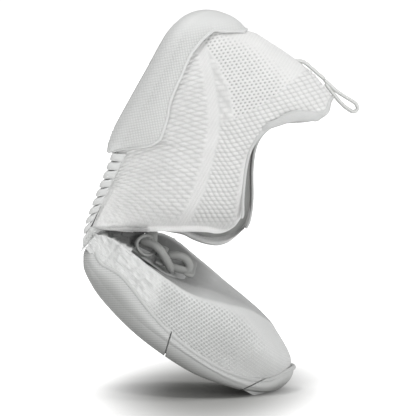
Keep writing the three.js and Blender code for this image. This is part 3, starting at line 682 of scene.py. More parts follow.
@dataclass
class HeelKnit:
    """The knit over the heel, its padded collar, its lining and its pull loop."""

    shape: HeelShape = field(default_factory=HeelShape)
    rows: int = 170
    cols: int = 760
    hem: float = 5.0
    hem_radius: float = 1.0
    tuck: float = 4.0  # how far the cloth draws in towards the fold
    tuck_reach: float = 19.0
    tape_thick: float = 0.95  # half the pull tape's thickness

    def relief(self, world: Array) -> tuple[Array, Array]:
        """The knit's zones.

        Args:
            world: the wall's points, in millimetres right of and above the fold's axis.

        Returns:
            The relief in millimetres, and the painted shade at each point.
        """
        cloth = lengths(world)
        x, z = world[..., 0], world[..., 2]
        rearward = smoothstep(np.abs(world[..., 1] + 1.0), 20.0, 12.0)
        band = Edge([(5, 42), (23.3, 50.7), (37.2, 55.3), (51, 58.6), (60.5, 59.6), (72, 58.5),
                     (88.4, 55.0), (110, 49)]).at(z)
        hole_side = Edge([(40, 72), (60.9, 68.8), (74.9, 66.3), (85.8, 61.3), (96, 54.9),
                          (120, 40)]).at(z)
        hole_foot = Edge([(40, 50), (68.8, 60.9), (83.3, 68.5), (95.3, 77.8), (110, 90)]).at(x)
        beyond = (x - 97.0) * 0.75 + (z - 82.0) * 0.62
        holes = (smoothstep(x - hole_side, -0.8, 0.8) * smoothstep(z - hole_foot, -0.8, 0.8)
                 * (1 - smoothstep(beyond, -14.0, 4.0)) * smoothstep(110.5 - z, 0.0, 6.0))
        holes *= 1 - rearward
        bend = 0.16 * np.maximum(x - 66.0, 0) ** 1.12
        zig = (smoothstep(x - band, 1.8, 3.6) * (1 - holes)
               * (1 - smoothstep(z - hole_foot, -1.0, 1.5)) * smoothstep(z, 9.0, 15.0))
        ladder = (smoothstep(x - band, 1.6, 3.0) * smoothstep(hole_side - x, 0.0, 1.4)
                  * smoothstep(z - hole_foot, -1.0, 1.5) * smoothstep(101.0 - z, 0.0, 6.0))
        angle = np.arctan2(z - 25.6, x + 0.6)
        radius = np.hypot(x + 0.6, z - 25.6)
        fan = angle * (0.6 * radius + 19.0)
        cable = smoothstep(band - x, 1.8, 4.0) * smoothstep(z, 8.0, 20.0)
        cable *= smoothstep(radius, 9.0, 16.0) * smoothstep(108.0 - z, 0.0, 10.0)
        back = 1 - np.maximum.reduce([holes, zig, ladder, cable])
        dots = lattice(x, z - 0.17 * x, 2.05, 3.1, 0.6)
        zigzag = strokes(x + 0.5 * value_noise(x / 6, z / 6, 5), z - bend, 2.5, 2.05, 1.4)
        rungs = strokes(x - z * 0.2, z - 0.1 * x, 4.6, 2.6, 1.0)
        rungs *= 0.55 + 0.45 * value_noise(x / 2.3, z / 2.3, 11)
        ropes = strokes(radius + 0.9 * value_noise(x / 5, z / 5, 7), fan, 4.4, 2.05, 1.1)
        ropes *= 0.78 + 0.3 * value_noise(x / 2.2, z / 2.2, 3)
        ribs = 0.5 + 0.5 * np.sin((x * 0.87 - z * 0.5) * 2 * math.pi / 1.45)
        grain = 0.5 + 0.5 * np.sin(cloth[..., 0] * 2 * math.pi / 1.3)
        fine = value_noise(x / 0.7, z / 0.7, 19) * 0.03
        push = (holes * (-0.55 * dots) + zig * 0.62 * zigzag + ladder * 0.55 * rungs
                + cable * 0.75 * ropes + back * 0.09 * (ribs * (1 - rearward) + grain * rearward))
        crush = smoothstep(19.0 - x, 0.0, 8.0) * smoothstep(24.0 - z, 0.0, 7.0)
        push += crush * 0.9 * crumple(x, z, 41, 4.6) + fine
        # Painted shade: darker in the holes, between the strokes, rungs and ropes, and towards the foot of the
        # wall near the fold.
        dark = (holes * dots * 0.62 + zig * 0.5 * (1 - zigzag) ** 2
                + ladder * 0.34 * (1 - np.clip(rungs, 0, 1)) ** 2
                + cable * 0.32 * (1 - np.clip(ropes, 0, 1)) ** 2 + back * 0.08 * (1 - ribs)
                + 0.3 * smoothstep(24 - z, 0.0, 16.0) * smoothstep(x, 15.0, 40.0))
        return push, np.clip(dark, 0, 1)

    def tucked(self, flat: Array, inward: Array) -> Array:
        """A wall's points, drawn in towards the edges at the fold."""
        run = lengths(flat)[..., 0]
        near = np.minimum(run - run[:, :1], run[:, -1:] - run)
        tuck = self.tuck * np.clip(1 - near / self.tuck_reach, 0, 1) ** 2
        return flat + inward * (tuck * smoothstep(flat[..., 2], 0.0, 14.0))[..., None]

    def build_wall(self) -> bpy.types.Object:
        """The outer knit with its rolled-in edges."""
        flat = self.shape.wall(self.rows, self.cols, inset=self.hem_radius)
        out = turned(flat)[2]
        world = standing(HEEL.place(flat))
        push, dark = self.relief(world)
        edge = np.minimum.reduce([
            smoothstep(np.arange(self.rows)[:, None] + 0.0 * push, 0, 4),
            smoothstep(self.rows - 1 - np.arange(self.rows)[:, None] + 0.0 * push, 0, 4),
            smoothstep(np.arange(self.cols)[None, :] + 0.0 * push, 0, 3),
            smoothstep(self.cols - 1 - np.arange(self.cols)[None, :] + 0.0 * push, 0, 3)])
        flat = self.tucked(flat, out)
        skin = flat - out * (push * edge)[..., None]
        start = curled(flat, "start", self.hem, self.hem_radius, 1.8, 26)[:, ::-1]
        end = curled(flat, "end", self.hem, self.hem_radius, 1.8, 26)
        full = np.concatenate([start, skin, end], 1)
        shade = np.concatenate([np.zeros(start.shape[:2]), dark * edge, np.zeros(end.shape[:2])], 1)
        points = HEEL.place(full)
        piece = Skin(points, lengths(full), {"painted_shade": shade}).build("heel_knit_wall", KNIT)
        return ride(piece, "heel", "knit", "rear_upper", "heel_counter")

    def build_collar(self) -> bpy.types.Object:
        """The padded roll round the ankle, thin at the instep and full behind the ankle bones."""
        flat = self.shape.wall(40, 420, inset=0.6)
        line, out, upward = flat[-1], -turned(flat)[2][-1], turned(flat)[1][-1]
        size = Edge([(-130, 1.1), (-118, 1.2), (-110, 1.5), (-105, 2.3), (-100, 2.6), (-94, 1.9),
                     (-88, 1.4), (-80, 0.9), (-60, 0.75), (-30, 0.7)]).at(line[:, 0])
        middle = line + upward * (size * 0.4)[:, None] - out * (size * 0.55)[:, None]
        smooth = np.stack([np.convolve(np.pad(middle[:, k], 3, mode="edge"), np.ones(7) / 7,
                                       mode="valid") for k in range(3)], 1)
        piece = sweep(HEEL.place(smooth), size * 1.15 * MM, size * MM, "collar_roll", PADDED,
                      face=tuple(HEEL.side), sides=26)
        return ride(piece, "heel", "padded", "collar_binding", fill=0.8)

    def build_lining(self) -> bpy.types.Object:
        """The brushed lining, full of padding near the collar."""
        flat = self.shape.wall(70, 300, inset=2.6, drop=1.0, raised=4.0)
        flat = self.tucked(flat, turned(flat)[2])
        out = -turned(flat)[2]
        v = np.linspace(0, 1, flat.shape[0])[:, None]
        pad = Edge([(-130, 6.5), (-110, 6.5), (-95, 5.5), (-80, 3.2), (-50, 2.2), (-20, 1.8)])
        thick = 1.9 + (pad.at(flat[..., 0]) - 1.9) * smoothstep(flat[..., 2], 22.0, 40.0)
        thick *= 1 - smoothstep(v, 0.93, 1.0) * 0.75
        wave = 0.35 * value_noise(flat[..., 0] / 9, flat[..., 2] / 9, 23)
        skin = flat - out * (thick + wave)[..., None]
        piece = Skin(HEEL.place(skin[:, ::-1]), lengths(skin)).build("heel_lining", LINING)
        return ride(piece, "heel", "lining", "rear_lining", "collar_padding", fill=0.5)

    def build_loop(self) -> None:
        """The pull tape stitched to the heel and the loop that swings above it."""
        sewn = spline([(-123.4, 0, 42), (-124.9, 0, 46), (-124.2, 0, 51), (-123.3, 0, 55),
                       (-122.6, 0, 58.8)], 60)
        tape = sweep(HEEL.place(sewn), 3.0 * MM, self.tape_thick * MM, "pull_tape_sewn", TAPE,
                     sides=16)
        ride(tape, "heel", "cord", "pull_loop_tape")
        path = spline([(-122.4, 0, 58.2), (-121.4, 0, 62.5), (-120.4, 0, 67), (-120.1, 0, 71.5),
                       (-119.8, 0, 76.6), (-118.0, 0, 79.0), (-115.8, 0, 77.8),
                       (-115.9, 0, 73.6), (-117.2, 0, 69.0), (-118.9, 0, 65.0),
                       (-121.2, 0, 59.6)], 120)
        loop = sweep(HEEL.place(path), 2.2 * MM, self.tape_thick * MM, "pull_loop_tape_free",
                     TAPE, sides=16)
        ride(loop, "heel_loop", "cord", "pull_loop")

    def build(self) -> None:
        """Builds every piece of the heel's upper."""
        self.build_wall()
        self.build_collar()
        self.build_lining()
        self.build_loop()


# ---------------------------------------------------------------------------------- rubber and pads
def ringed(outline: Array, spine: Array, steps: list[tuple]) -> Array:
    """A closed form as rings of points round a plan.

    Args:
        outline: the plan's points, in order and not repeated.
        spine: the point at the middle that each outline point closes to.
        steps: for each ring, its share of the way to the spine, its inset from the outline and
            its height, each one number or one for each outline point.

    Returns:
        The grid, whose last column repeats the first.
    """
    around = np.roll(outline, -1, 0) - np.roll(outline, 1, 0)
    around /= np.linalg.norm(around, axis=1, keepdims=True)
    outward = np.stack([around[:, 1], -around[:, 0]], 1)
    if np.sum(outward * (outline - outline.mean(0))) < 0:
        outward = -outward
    rings = []
    for share, inset, height in steps:
        edge = outline - outward * np.reshape(inset, (-1, 1))
        plan = edge + (spine - edge) * share
        rings.append(np.concatenate([plan, np.zeros((len(plan), 1)) + np.reshape(height, (-1, 1))],
                                    1))
    grid = np.stack(rings)
    return np.concatenate([grid, grid[:, :1]], 1)


SOLE_RINGS = 36  # rings of a tub's underside, from its middle to its corner
WALL_RINGS = slice(60, 120)  # rings that are on its wall
WALL_MIDDLE = 100
WALL_TOP = 139  # the ring under its bead


@dataclass
class Tub:
    """A moulded rubber tray: a floor with a tread side, a bulging wall and a beaded lip."""

    outline: list
    spine: tuple  # first x, last x, y
    bottom: Edge
    lip: Edge
    corner: Edge  # radius of the bottom corner, by x
    points: int = 900
    floor: float = 3.0
    wall: float = 2.9
    bead: float = 0.75
    belly: float = 0.9

    def grid(self) -> tuple[Array, Array, Array]:
        """The tub's grid, how much each point belongs to the wall, and how much to the sole."""
        plan = spline(self.outline, self.points + 1, closed=True)[:-1]
        x = plan[:, 0]
        spine = np.stack([np.clip(x, *self.spine[:2]), np.full_like(x, self.spine[2])], 1)
        low, high = self.bottom.at(x), self.lip.at(x)
        tall = high - low
        radius = self.corner.at(x)
        side = np.roll(plan, -1, 0) - np.roll(plan, 1, 0)
        square = np.abs(side[:, 0]) / np.linalg.norm(side, axis=1)
        outward = np.stack([side[:, 1], -side[:, 0]], 1) / np.linalg.norm(side, axis=1)[:, None]
        if np.sum(outward * (plan - plan.mean(0))) < 0:
            outward = -outward
        rise = np.minimum(radius * 1.15, tall * 0.62) * square**1.5 + 0.3
        rings = []

        def low_in(share: float, inset: Array | float) -> Array:
            """The underside's height at a share of the way inwards."""
            edge = x - outward[:, 0] * inset
            return self.bottom.at(edge + (spine[:, 0] - edge) * share)

        def ring(share: float, inset: Array | float, height: Array, wall: float = 0.0,
                 sole: float = 0.0) -> None:
            """Adds one ring, with its shares of the wall and of the sole."""
            rings.append((share, inset, height, wall, sole))

        for share in np.linspace(1.0, 0.0, SOLE_RINGS) ** 0.8:
            ring(share, radius, low_in(share, radius), sole=1.0)
        for angle in np.linspace(0.0, math.pi / 2, 26)[1:]:
            inset = radius * (1 - math.sin(angle))
            ring(0.0, inset, low_in(0.0, inset) + rise * (1 - math.cos(angle)),
                 math.sin(angle), 1.0 - math.sin(angle))
        side_low, side_high = low + rise, high - 2.4 * self.bead
        for part in np.linspace(0.0, 1.0, 80)[1:]:
            bulge = -self.belly * np.sin(part * math.pi) * np.clip(tall / 18.0, 0, 1)
            ring(0.0, bulge + 0.9 * part**3, side_low + (side_high - side_low) * part, wall=1.0)
        for angle in np.linspace(-0.5, math.pi, 14):
            ring(0.0, 0.9 + self.bead * (1 - 1.3 * math.cos(angle)) - 0.1,
                 high - self.bead * 1.4 + self.bead * 1.4 * math.sin(angle))
        inner = np.minimum(low_in(0.0, self.wall) + self.floor, high - 1.2)
        for part in np.linspace(0.0, 1.0, 8)[1:]:
            ring(0.0, self.wall, (high - 2.4 * self.bead) * (1 - part) + inner * part)
        for share in np.linspace(0.0, 1.0, 10)[1:]:
            ring(share, self.wall, low_in(share, self.wall) + self.floor * (
                share + (1 - share) * (inner - low_in(0.0, self.wall)) / self.floor))
        grid = ringed(plan, spine, [r[:3] for r in rings])
        wall, sole = (np.broadcast_to(np.array([r[k] for r in rings])[:, None], grid.shape[:2])
                      for k in (3, 4))
        return grid, wall, sole


def waffle(x: Array, y: Array, pitch: float) -> Array:
    """A grid of small square pillows, from 0 in the grooves to 1 on the pillows."""
    a = np.abs(np.sin(math.pi * x / pitch))
    b = np.abs(np.sin(math.pi * y / pitch))
    return np.minimum(a, b) ** 0.55


def chevrons(x: Array, y: Array, pitch: float) -> Array:
    """Zigzag tread bars across the shoe, from 0 in the grooves to 1 on the bars."""
    lean = np.abs(np.mod(y / 9.0, 2.0) - 1.0) * 4.0
    return smoothstep(np.abs(np.sin(math.pi * (x + lean) / pitch)), 0.16, 0.42)


@dataclass
class Sole:
    """The heel cup, the forefoot's rim with its toe pieces, the tread pads and the arch ribs."""

    cup: Tub = field(default_factory=lambda: Tub(
        [(-43.6, 0), (-43.7, -18), (-44.2, -26.4), (-46.0, -29.2), (-51, -30.2), (-62, -30.8),
         (-88, -31.2), (-107, -27.6), (-121, -16.6), (-126.7, 0), (-121, 16.6), (-107, 27.2),
         (-88, 30.3), (-62, 28.3), (-51, 27.2), (-46.0, 26.0), (-44.2, 23.0), (-43.7, 14)],
        (-106.0, -60.0, 0.0),
        Edge([(-128.5, 6), (-127.0, 1.0), (-126.0, -2.6), (-123.8, -7.2), (-120.4, -11.2),
              (-115.2, -14.4), (-108, -16.1), (-100, -16.4), (-90, -16.3), (-56, -16.4),
              (-49, -15.6), (-43, -14.2)]),
        Edge([(-135, 15.4), (-126, 15.4), (-124, 12.6), (-120, 6.0), (-118.6, 3.0),
              (-114.3, 1.1), (-110, 0.0), (-103, -0.9), (-93, 0.0), (-80, 1.3), (-71.4, 4.0),
              (-63, 5.6), (-59.8, 5.2), (-55.5, 2.2), (-50, -5.4), (-46.6, -9.4), (-43, -11.0)]),
        Edge([(-130, 7), (-120, 7), (-100, 6.5), (-70, 6.0), (-50, 5.5), (-43, 4.5)]),
        points=1500, bead=0.6))
    rim: Tub = field(default_factory=lambda: Tub(
        [(-0.6, 0), (-0.4, -20), (1.6, -29), (7, -34.0), (30, -41.0), (50, -44.4), (68, -43.9),
         (86, -38), (99.5, -27), (109.4, -12), (113.4, 6), (110, 22), (100, 33.5), (84.5, 40),
         (65, 43), (45, 42.5), (25, 38), (7, 31.4), (1.6, 26.5), (-0.4, 18)],
        (22.0, 84.0, 2.0),
        Edge([(-2, -1.6), (0.8, -4.6), (4.6, -8.2), (11.2, -11.4), (18.9, -13.8), (32, -15.8),
              (45, -16.6), (59, -16.1), (72.8, -14.8), (83, -12.6), (97.4, -8.4), (104, -5.5),
              (108.3, -3.2), (111.6, -0.6), (113.0, 1.8), (114.3, 6.0), (116, 9)]),
        Edge([(-2, 5.0), (0.5, 3.8), (3.3, 2.4), (6.7, 0.7), (10, 0.2), (14.4, 1.1), (19.8, 1.6),
              (27.2, 0.5), (37.5, -2.0), (46.6, -3.7), (53, -4.5), (65, -5.0), (77, -4.4),
              (87.4, -3.1), (97.3, -0.6), (102, 1.6), (105.8, 3.8), (108.6, 7.4), (110.2, 10.8),
              (112.0, 13.2), (113.6, 14.2), (118, 14.4)]),
        Edge([(-2, 2.2), (6, 3.5), (20, 5.0), (60, 5.5), (90, 6.0), (108, 7.0), (114, 8.0)]),
        points=1100, wall=3.2, belly=1.1))
    slots: tuple = ((59.2, -16.3, 54.6, -4.5), (96.6, -9.0, 102.8, 2.2))
    slot_wide: float = 0.6
    slot_inset: float = 1.3  # how far inside the rim's face the slot's band lies
    slot_reach: tuple = (50.0, 66.0)  # x where the band starts and ends
    slot_bend: tuple = (53.0, 60.0)  # x where its blend starts and ends
    ribs: int = 10
    lateral: float = -29.0
    medial: float = 25.0
    web_half: float = 22.5  # half the width of the sheet behind the ribs
    web_thick: float = 0.45  # half its thickness
    rib_air: float = 0.42  # half the gap between two ribs at their outer edge

    def finish_rubber(self, tub: Tub, half: Half, amount: Array, slant: float,
                      pitch: float) -> tuple[Array, Array, Array]:
        """A tub's points with its relief.

        Args:
            tub: the tub.
            half: the half that it belongs to.
            amount: how strong the waffle is at each of the standing points.
            slant: how the waffle's rows lean.
            pitch: the waffle's pitch.

        Returns:
            Flat points, cloth lengths and painted shade in the grooves.
        """
        flat, wall, sole = tub.grid()
        out = turned(flat)[2]
        centre = flat.mean(axis=(0, 1))
        if np.sum(out * (flat - centre) * wall[..., None]) < 0:
            out = -out
        world = standing(half.place(flat))
        x, z = world[..., 0], world[..., 2]
        squares = waffle(x + slant * z, z - slant * x, pitch) if half is HEEL else (
            0.8 * np.abs(np.sin(math.pi * (z - slant * x) / pitch)) ** 0.7
            + 0.2 * np.abs(np.sin(math.pi * x / pitch)) ** 0.7)
        strength = amount(x, z) * wall
        tread = chevrons(flat[..., 0], flat[..., 1], 5.0)
        inner = smoothstep(np.linspace(0, 1, SOLE_RINGS), 0.02, 0.12)
        soled = np.zeros(flat.shape[:2])
        soled[:SOLE_RINGS] = sole[:SOLE_RINGS] * inner[:, None]
        push = 0.22 * strength * (squares - 1) + 0.75 * soled * (tread - 1)
        # Painted shade in the waffle's grooves and in the tread's grooves.
        painted_shade = 0.62 * strength * (1 - squares) ** 1.5 + 0.35 * soled * (1 - tread)
        return flat + out * push[..., None], lengths(flat), np.clip(painted_shade, 0, 1)

    def build_cup(self) -> None:
        """The heel cup, waffled over its side and smooth round its back."""
        amount = lambda x, z: (1 - smoothstep(z, 96.0, 108.0)) * smoothstep(z, 43.0, 52.0)
        flat, cloth, painted_shade = self.finish_rubber(self.cup, HEEL, amount, 0.18, 1.25)
        cup = Skin(HEEL.place(flat), cloth, {"painted_shade": painted_shade}).build("heel_cup_shell", RUBBER,
                                                                      weld=True)
        ride(cup, "heel", "rubber", "heel_cup")

    def build_rim(self) -> None:
        """The rim in its three lengths, parted by slanting slots."""
        amount = lambda x, z: (1 - smoothstep(x, 38.0, 62.0)) * 0.8
        flat, cloth, painted_shade = self.finish_rubber(self.rim, FORE, amount, 0.05, 1.05)
        # Painted shade: the whole rim a little darker, and darker still towards its underside.
        low = smoothstep(self.rim.lip.at(flat[..., 0]) - flat[..., 2], 2.0, 12.0)
        painted_shade = np.clip(painted_shade + 0.26 + 0.42 * low, 0, 1)
        middle = [np.array([(s[0] + s[2]) / 2, 0, (s[1] + s[3]) / 2]) for s in self.slots]
        faces = [np.array([s[3] - s[1], 0, s[0] - s[2]]) for s in self.slots]
        faces = [f / np.linalg.norm(f) for f in faces]
        pieces = (
            ("forefoot_rim_shell", "forefoot_rim", "forefoot", [(0, 1)]),
            ("toe_rim_shell", "toe_rim", "toe", [(0, -1), (1, 1)]),
            ("toe_bumper_shell", "toe_bumper", "toe", [(1, -1)]),
        )
        for name, node, body, cuts in pieces:
            piece = Skin(FORE.place(flat), cloth, {"painted_shade": painted_shade}).build(name, RUBBER,
                                                                            weld=True)
            for slot, keep in cuts:
                at = middle[slot] - faces[slot] * keep * self.slot_wide / 2
                self.cut(piece, FORE.place(at), FORE.turn(faces[slot] * keep))
            ride(piece, body, "rubber", node)

    def build_flex_web(self) -> None:
        """The soft band inside the rim that closes the slot where the toe bends."""
        grid = self.rim.grid()[0]
        out = turned(grid)[2]
        if np.sum(out[WALL_RINGS, :, 1] * grid[WALL_RINGS, :, 1]) < 0:
            out = -out
        grid = (grid - self.slot_inset * out)[:WALL_TOP]
        along = np.linspace(*self.slot_reach, 26)
        halves = []
        for sign in (-1, 1):
            cols = np.where(sign * (grid[-1, :, 1] - self.rim.spine[2]) > 0)[0]
            cols = cols[np.argsort(grid[WALL_MIDDLE, cols, 0])]
            halves.append(np.stack([[np.interp(along, ring[cols, 0], ring[cols, k])
                                     for k in range(3)] for ring in grid]).transpose(0, 2, 1))
        band = np.concatenate([halves[0][::-1], halves[1][1:]], 0)
        web = Skin(FORE.place(band), lengths(band)).build("toe_slot_web", SHADED_FORE_YARN)
        bend(web, ("forefoot", "toe"), "rubber",
             [FORE.place([x, 0.0, 0.0]) for x in self.slot_bend])

    @staticmethod
    def cut(piece: bpy.types.Object, point: Array, away: Array) -> None:
        """Removes what lies past a plane and closes the cut.

        Args:
            piece: the piece.
            point: a point on the plane.
            away: the side that is removed.
        """
        shape = bmesh.new()
        shape.from_mesh(piece.data)
        cut = bmesh.ops.bisect_plane(
            shape, geom=shape.verts[:] + shape.edges[:] + shape.faces[:], plane_co=point,
            plane_no=Vector(away).normalized(), clear_outer=True, dist=1e-7)
        edges = [e for e in cut["geom_cut"] if isinstance(e, bmesh.types.BMEdge)]
        bmesh.ops.triangle_fill(shape, use_beauty=True, edges=edges)
        shape.to_mesh(piece.data)
        shape.free()

    def build_pad(self, name: str, node: str, body: str, half: Half, outline: list,
                  bottom: Edge) -> None:
        """A tread pad with zigzag bars.

        Args:
            name: the piece's name.
            node: the CAD node that it stands for.
            body: the body that it rides on.
            half: the half that it belongs to.
            outline: its plan.
            bottom: the rubber's underside by x.
        """
        plan = spline(outline, 361, closed=True)[:-1]
        x0, x1 = plan[:, 0].min(), plan[:, 0].max()
        y = (plan[:, 1].min() + plan[:, 1].max()) / 2
        inner = min(12.0, (x1 - x0) / 2 - 1)
        spine = np.stack([np.clip(plan[:, 0], x0 + inner, x1 - inner), np.full(len(plan), y)], 1)
        low = lambda share: bottom.at(plan[:, 0] + (spine[:, 0] - plan[:, 0]) * share)
        steps = [(s, 0.7, low(s) - 0.5) for s in np.linspace(1, 0, 34)]
        steps += [(0, 0.7 - 0.7 * math.sin(a), low(0) - 0.5 + 0.6 * (1 - math.cos(a)))
                  for a in np.linspace(0, math.pi / 2, 5)[1:]]
        steps += [(0, 0, low(0) + 0.7), (0, 0.4, low(0) + 0.9)]
        steps += [(s, 0.4, low(s) + 0.9) for s in (0.5, 1)]
        flat = ringed(plan, spine, steps)
        bars = chevrons(flat[..., 0], flat[..., 1], 4.4)
        face = np.zeros(flat.shape[:2])
        face[:33] = 1
        flat[..., 2] += 0.7 * face * (1 - bars)
        # Painted shade in the grooves between the bars.
        pad = Skin(half.place(flat), lengths(flat), {"painted_shade": 0.4 * face * (1 - bars)}).build(
            name, TREAD, weld=True)
        ride(pad, body, "tread", node)

    def build_ribs(self) -> None:
        """The arch's ribs, which part at their outer edge and meet inside."""
        slot = lambda i: (
            np.array([-45.5 + 4.52 * i, -11.1 + 0.6 * i + 0.05 * max(i - 6, 0) ** 3]),
            np.array([-47.6 + 4.3 * i, -5.7 + 0.24 * i]))
        for i in range(self.ribs):
            name = f"arch_rib_{i + 1:02d}"
            (o0, i0), (o1, i1) = slot(i), slot(i + 1)
            ahead = (o1 - o0) / np.linalg.norm(o1 - o0)
            o0, o1 = o0 + ahead * self.rib_air, o1 - ahead * self.rib_air
            i0, i1 = i0 + ahead * 0.1, i1 - ahead * 0.1
            out = np.array([ahead[1], -ahead[0]])
            section = spline([i0, i0 * 0.5 + o0 * 0.5, o0 * 0.86 + i0 * 0.14,
                              o0 + ahead * 0.35 + out * 0.25, (o0 + o1) / 2 + out * 0.55,
                              o1 - ahead * 0.35 + out * 0.25, o1 * 0.86 + i1 * 0.14,
                              i1 * 0.5 + o1 * 0.5, i1, (i0 + i1) / 2], 57, closed=True)
            middle = section.mean(0)
            across = np.r_[self.lateral + 1.0 * (1 - np.cos(np.linspace(0, math.pi / 2, 6))),
                           np.linspace(self.lateral + 1.5, self.medial - 1.5, 40),
                           self.medial - 1.0 * (1 - np.sin(np.linspace(0, math.pi / 2, 6)))]
            size = np.r_[0.0, np.sin(np.linspace(0.5, math.pi / 2, 5)) * 0.1 + 0.9,
                         np.ones(40), np.cos(np.linspace(0, 1.1, 5)) * 0.1 + 0.9, 0.0]
            rings = middle + (section - middle) * size[:, None, None]
            flat = np.stack([rings[..., 0], np.broadcast_to(across[:, None], rings.shape[:2]),
                             rings[..., 1]], -1)
            rib = Skin(HEEL.place(flat), lengths(flat)).build(f"{name}_bar", RUBBER, weld=True)
            ride(rib, "heel", "rubber", name)
        pairs = [slot(k) for k in np.linspace(0.15, self.ribs - 0.15, 60)]
        line = np.array([o * 0.4 + i * 0.6 for o, i in pairs])
        path = np.stack([line[:, 0], np.full(60, -2.0), line[:, 1]], 1)
        web = sweep(HEEL.place(path), self.web_half * MM, self.web_thick * MM, "arch_web_sheet",
                    LINING, sides=28)
        ride(web, "heel", "lining", "arch_web")

    def build(self) -> None:
        """Builds every rubber piece."""
        self.build_cup()
        self.build_rim()
        self.build_ribs()
        self.build_flex_web()
        self.build_pad("heel_tread_bars", "heel_tread", "heel", HEEL,
                       [(-53, 0), (-54, -17), (-62, -21), (-88, -22), (-106, -17), (-114, 0),
                        (-106, 17), (-88, 21), (-62, 19), (-54, 15)], self.cup.bottom)
        self.build_pad("ball_tread_bars", "ball_tread", "forefoot", FORE,
                       [(36.5, 0), (37, -24), (39, -26.5), (51, -26.5), (53, -24), (53.5, 0),
                        (53, 24), (51, 26.5), (39, 26.5), (37, 24)], self.rim.bottom)
        self.build_pad("toe_tread_bars", "toe_tread", "toe", FORE,
                       [(64.5, 0), (65, -27), (68, -31), (80, -28), (88, -22), (89.5, 0),
                        (88, 21), (80, 27), (68, 30), (65, 26)], self.rim.bottom)


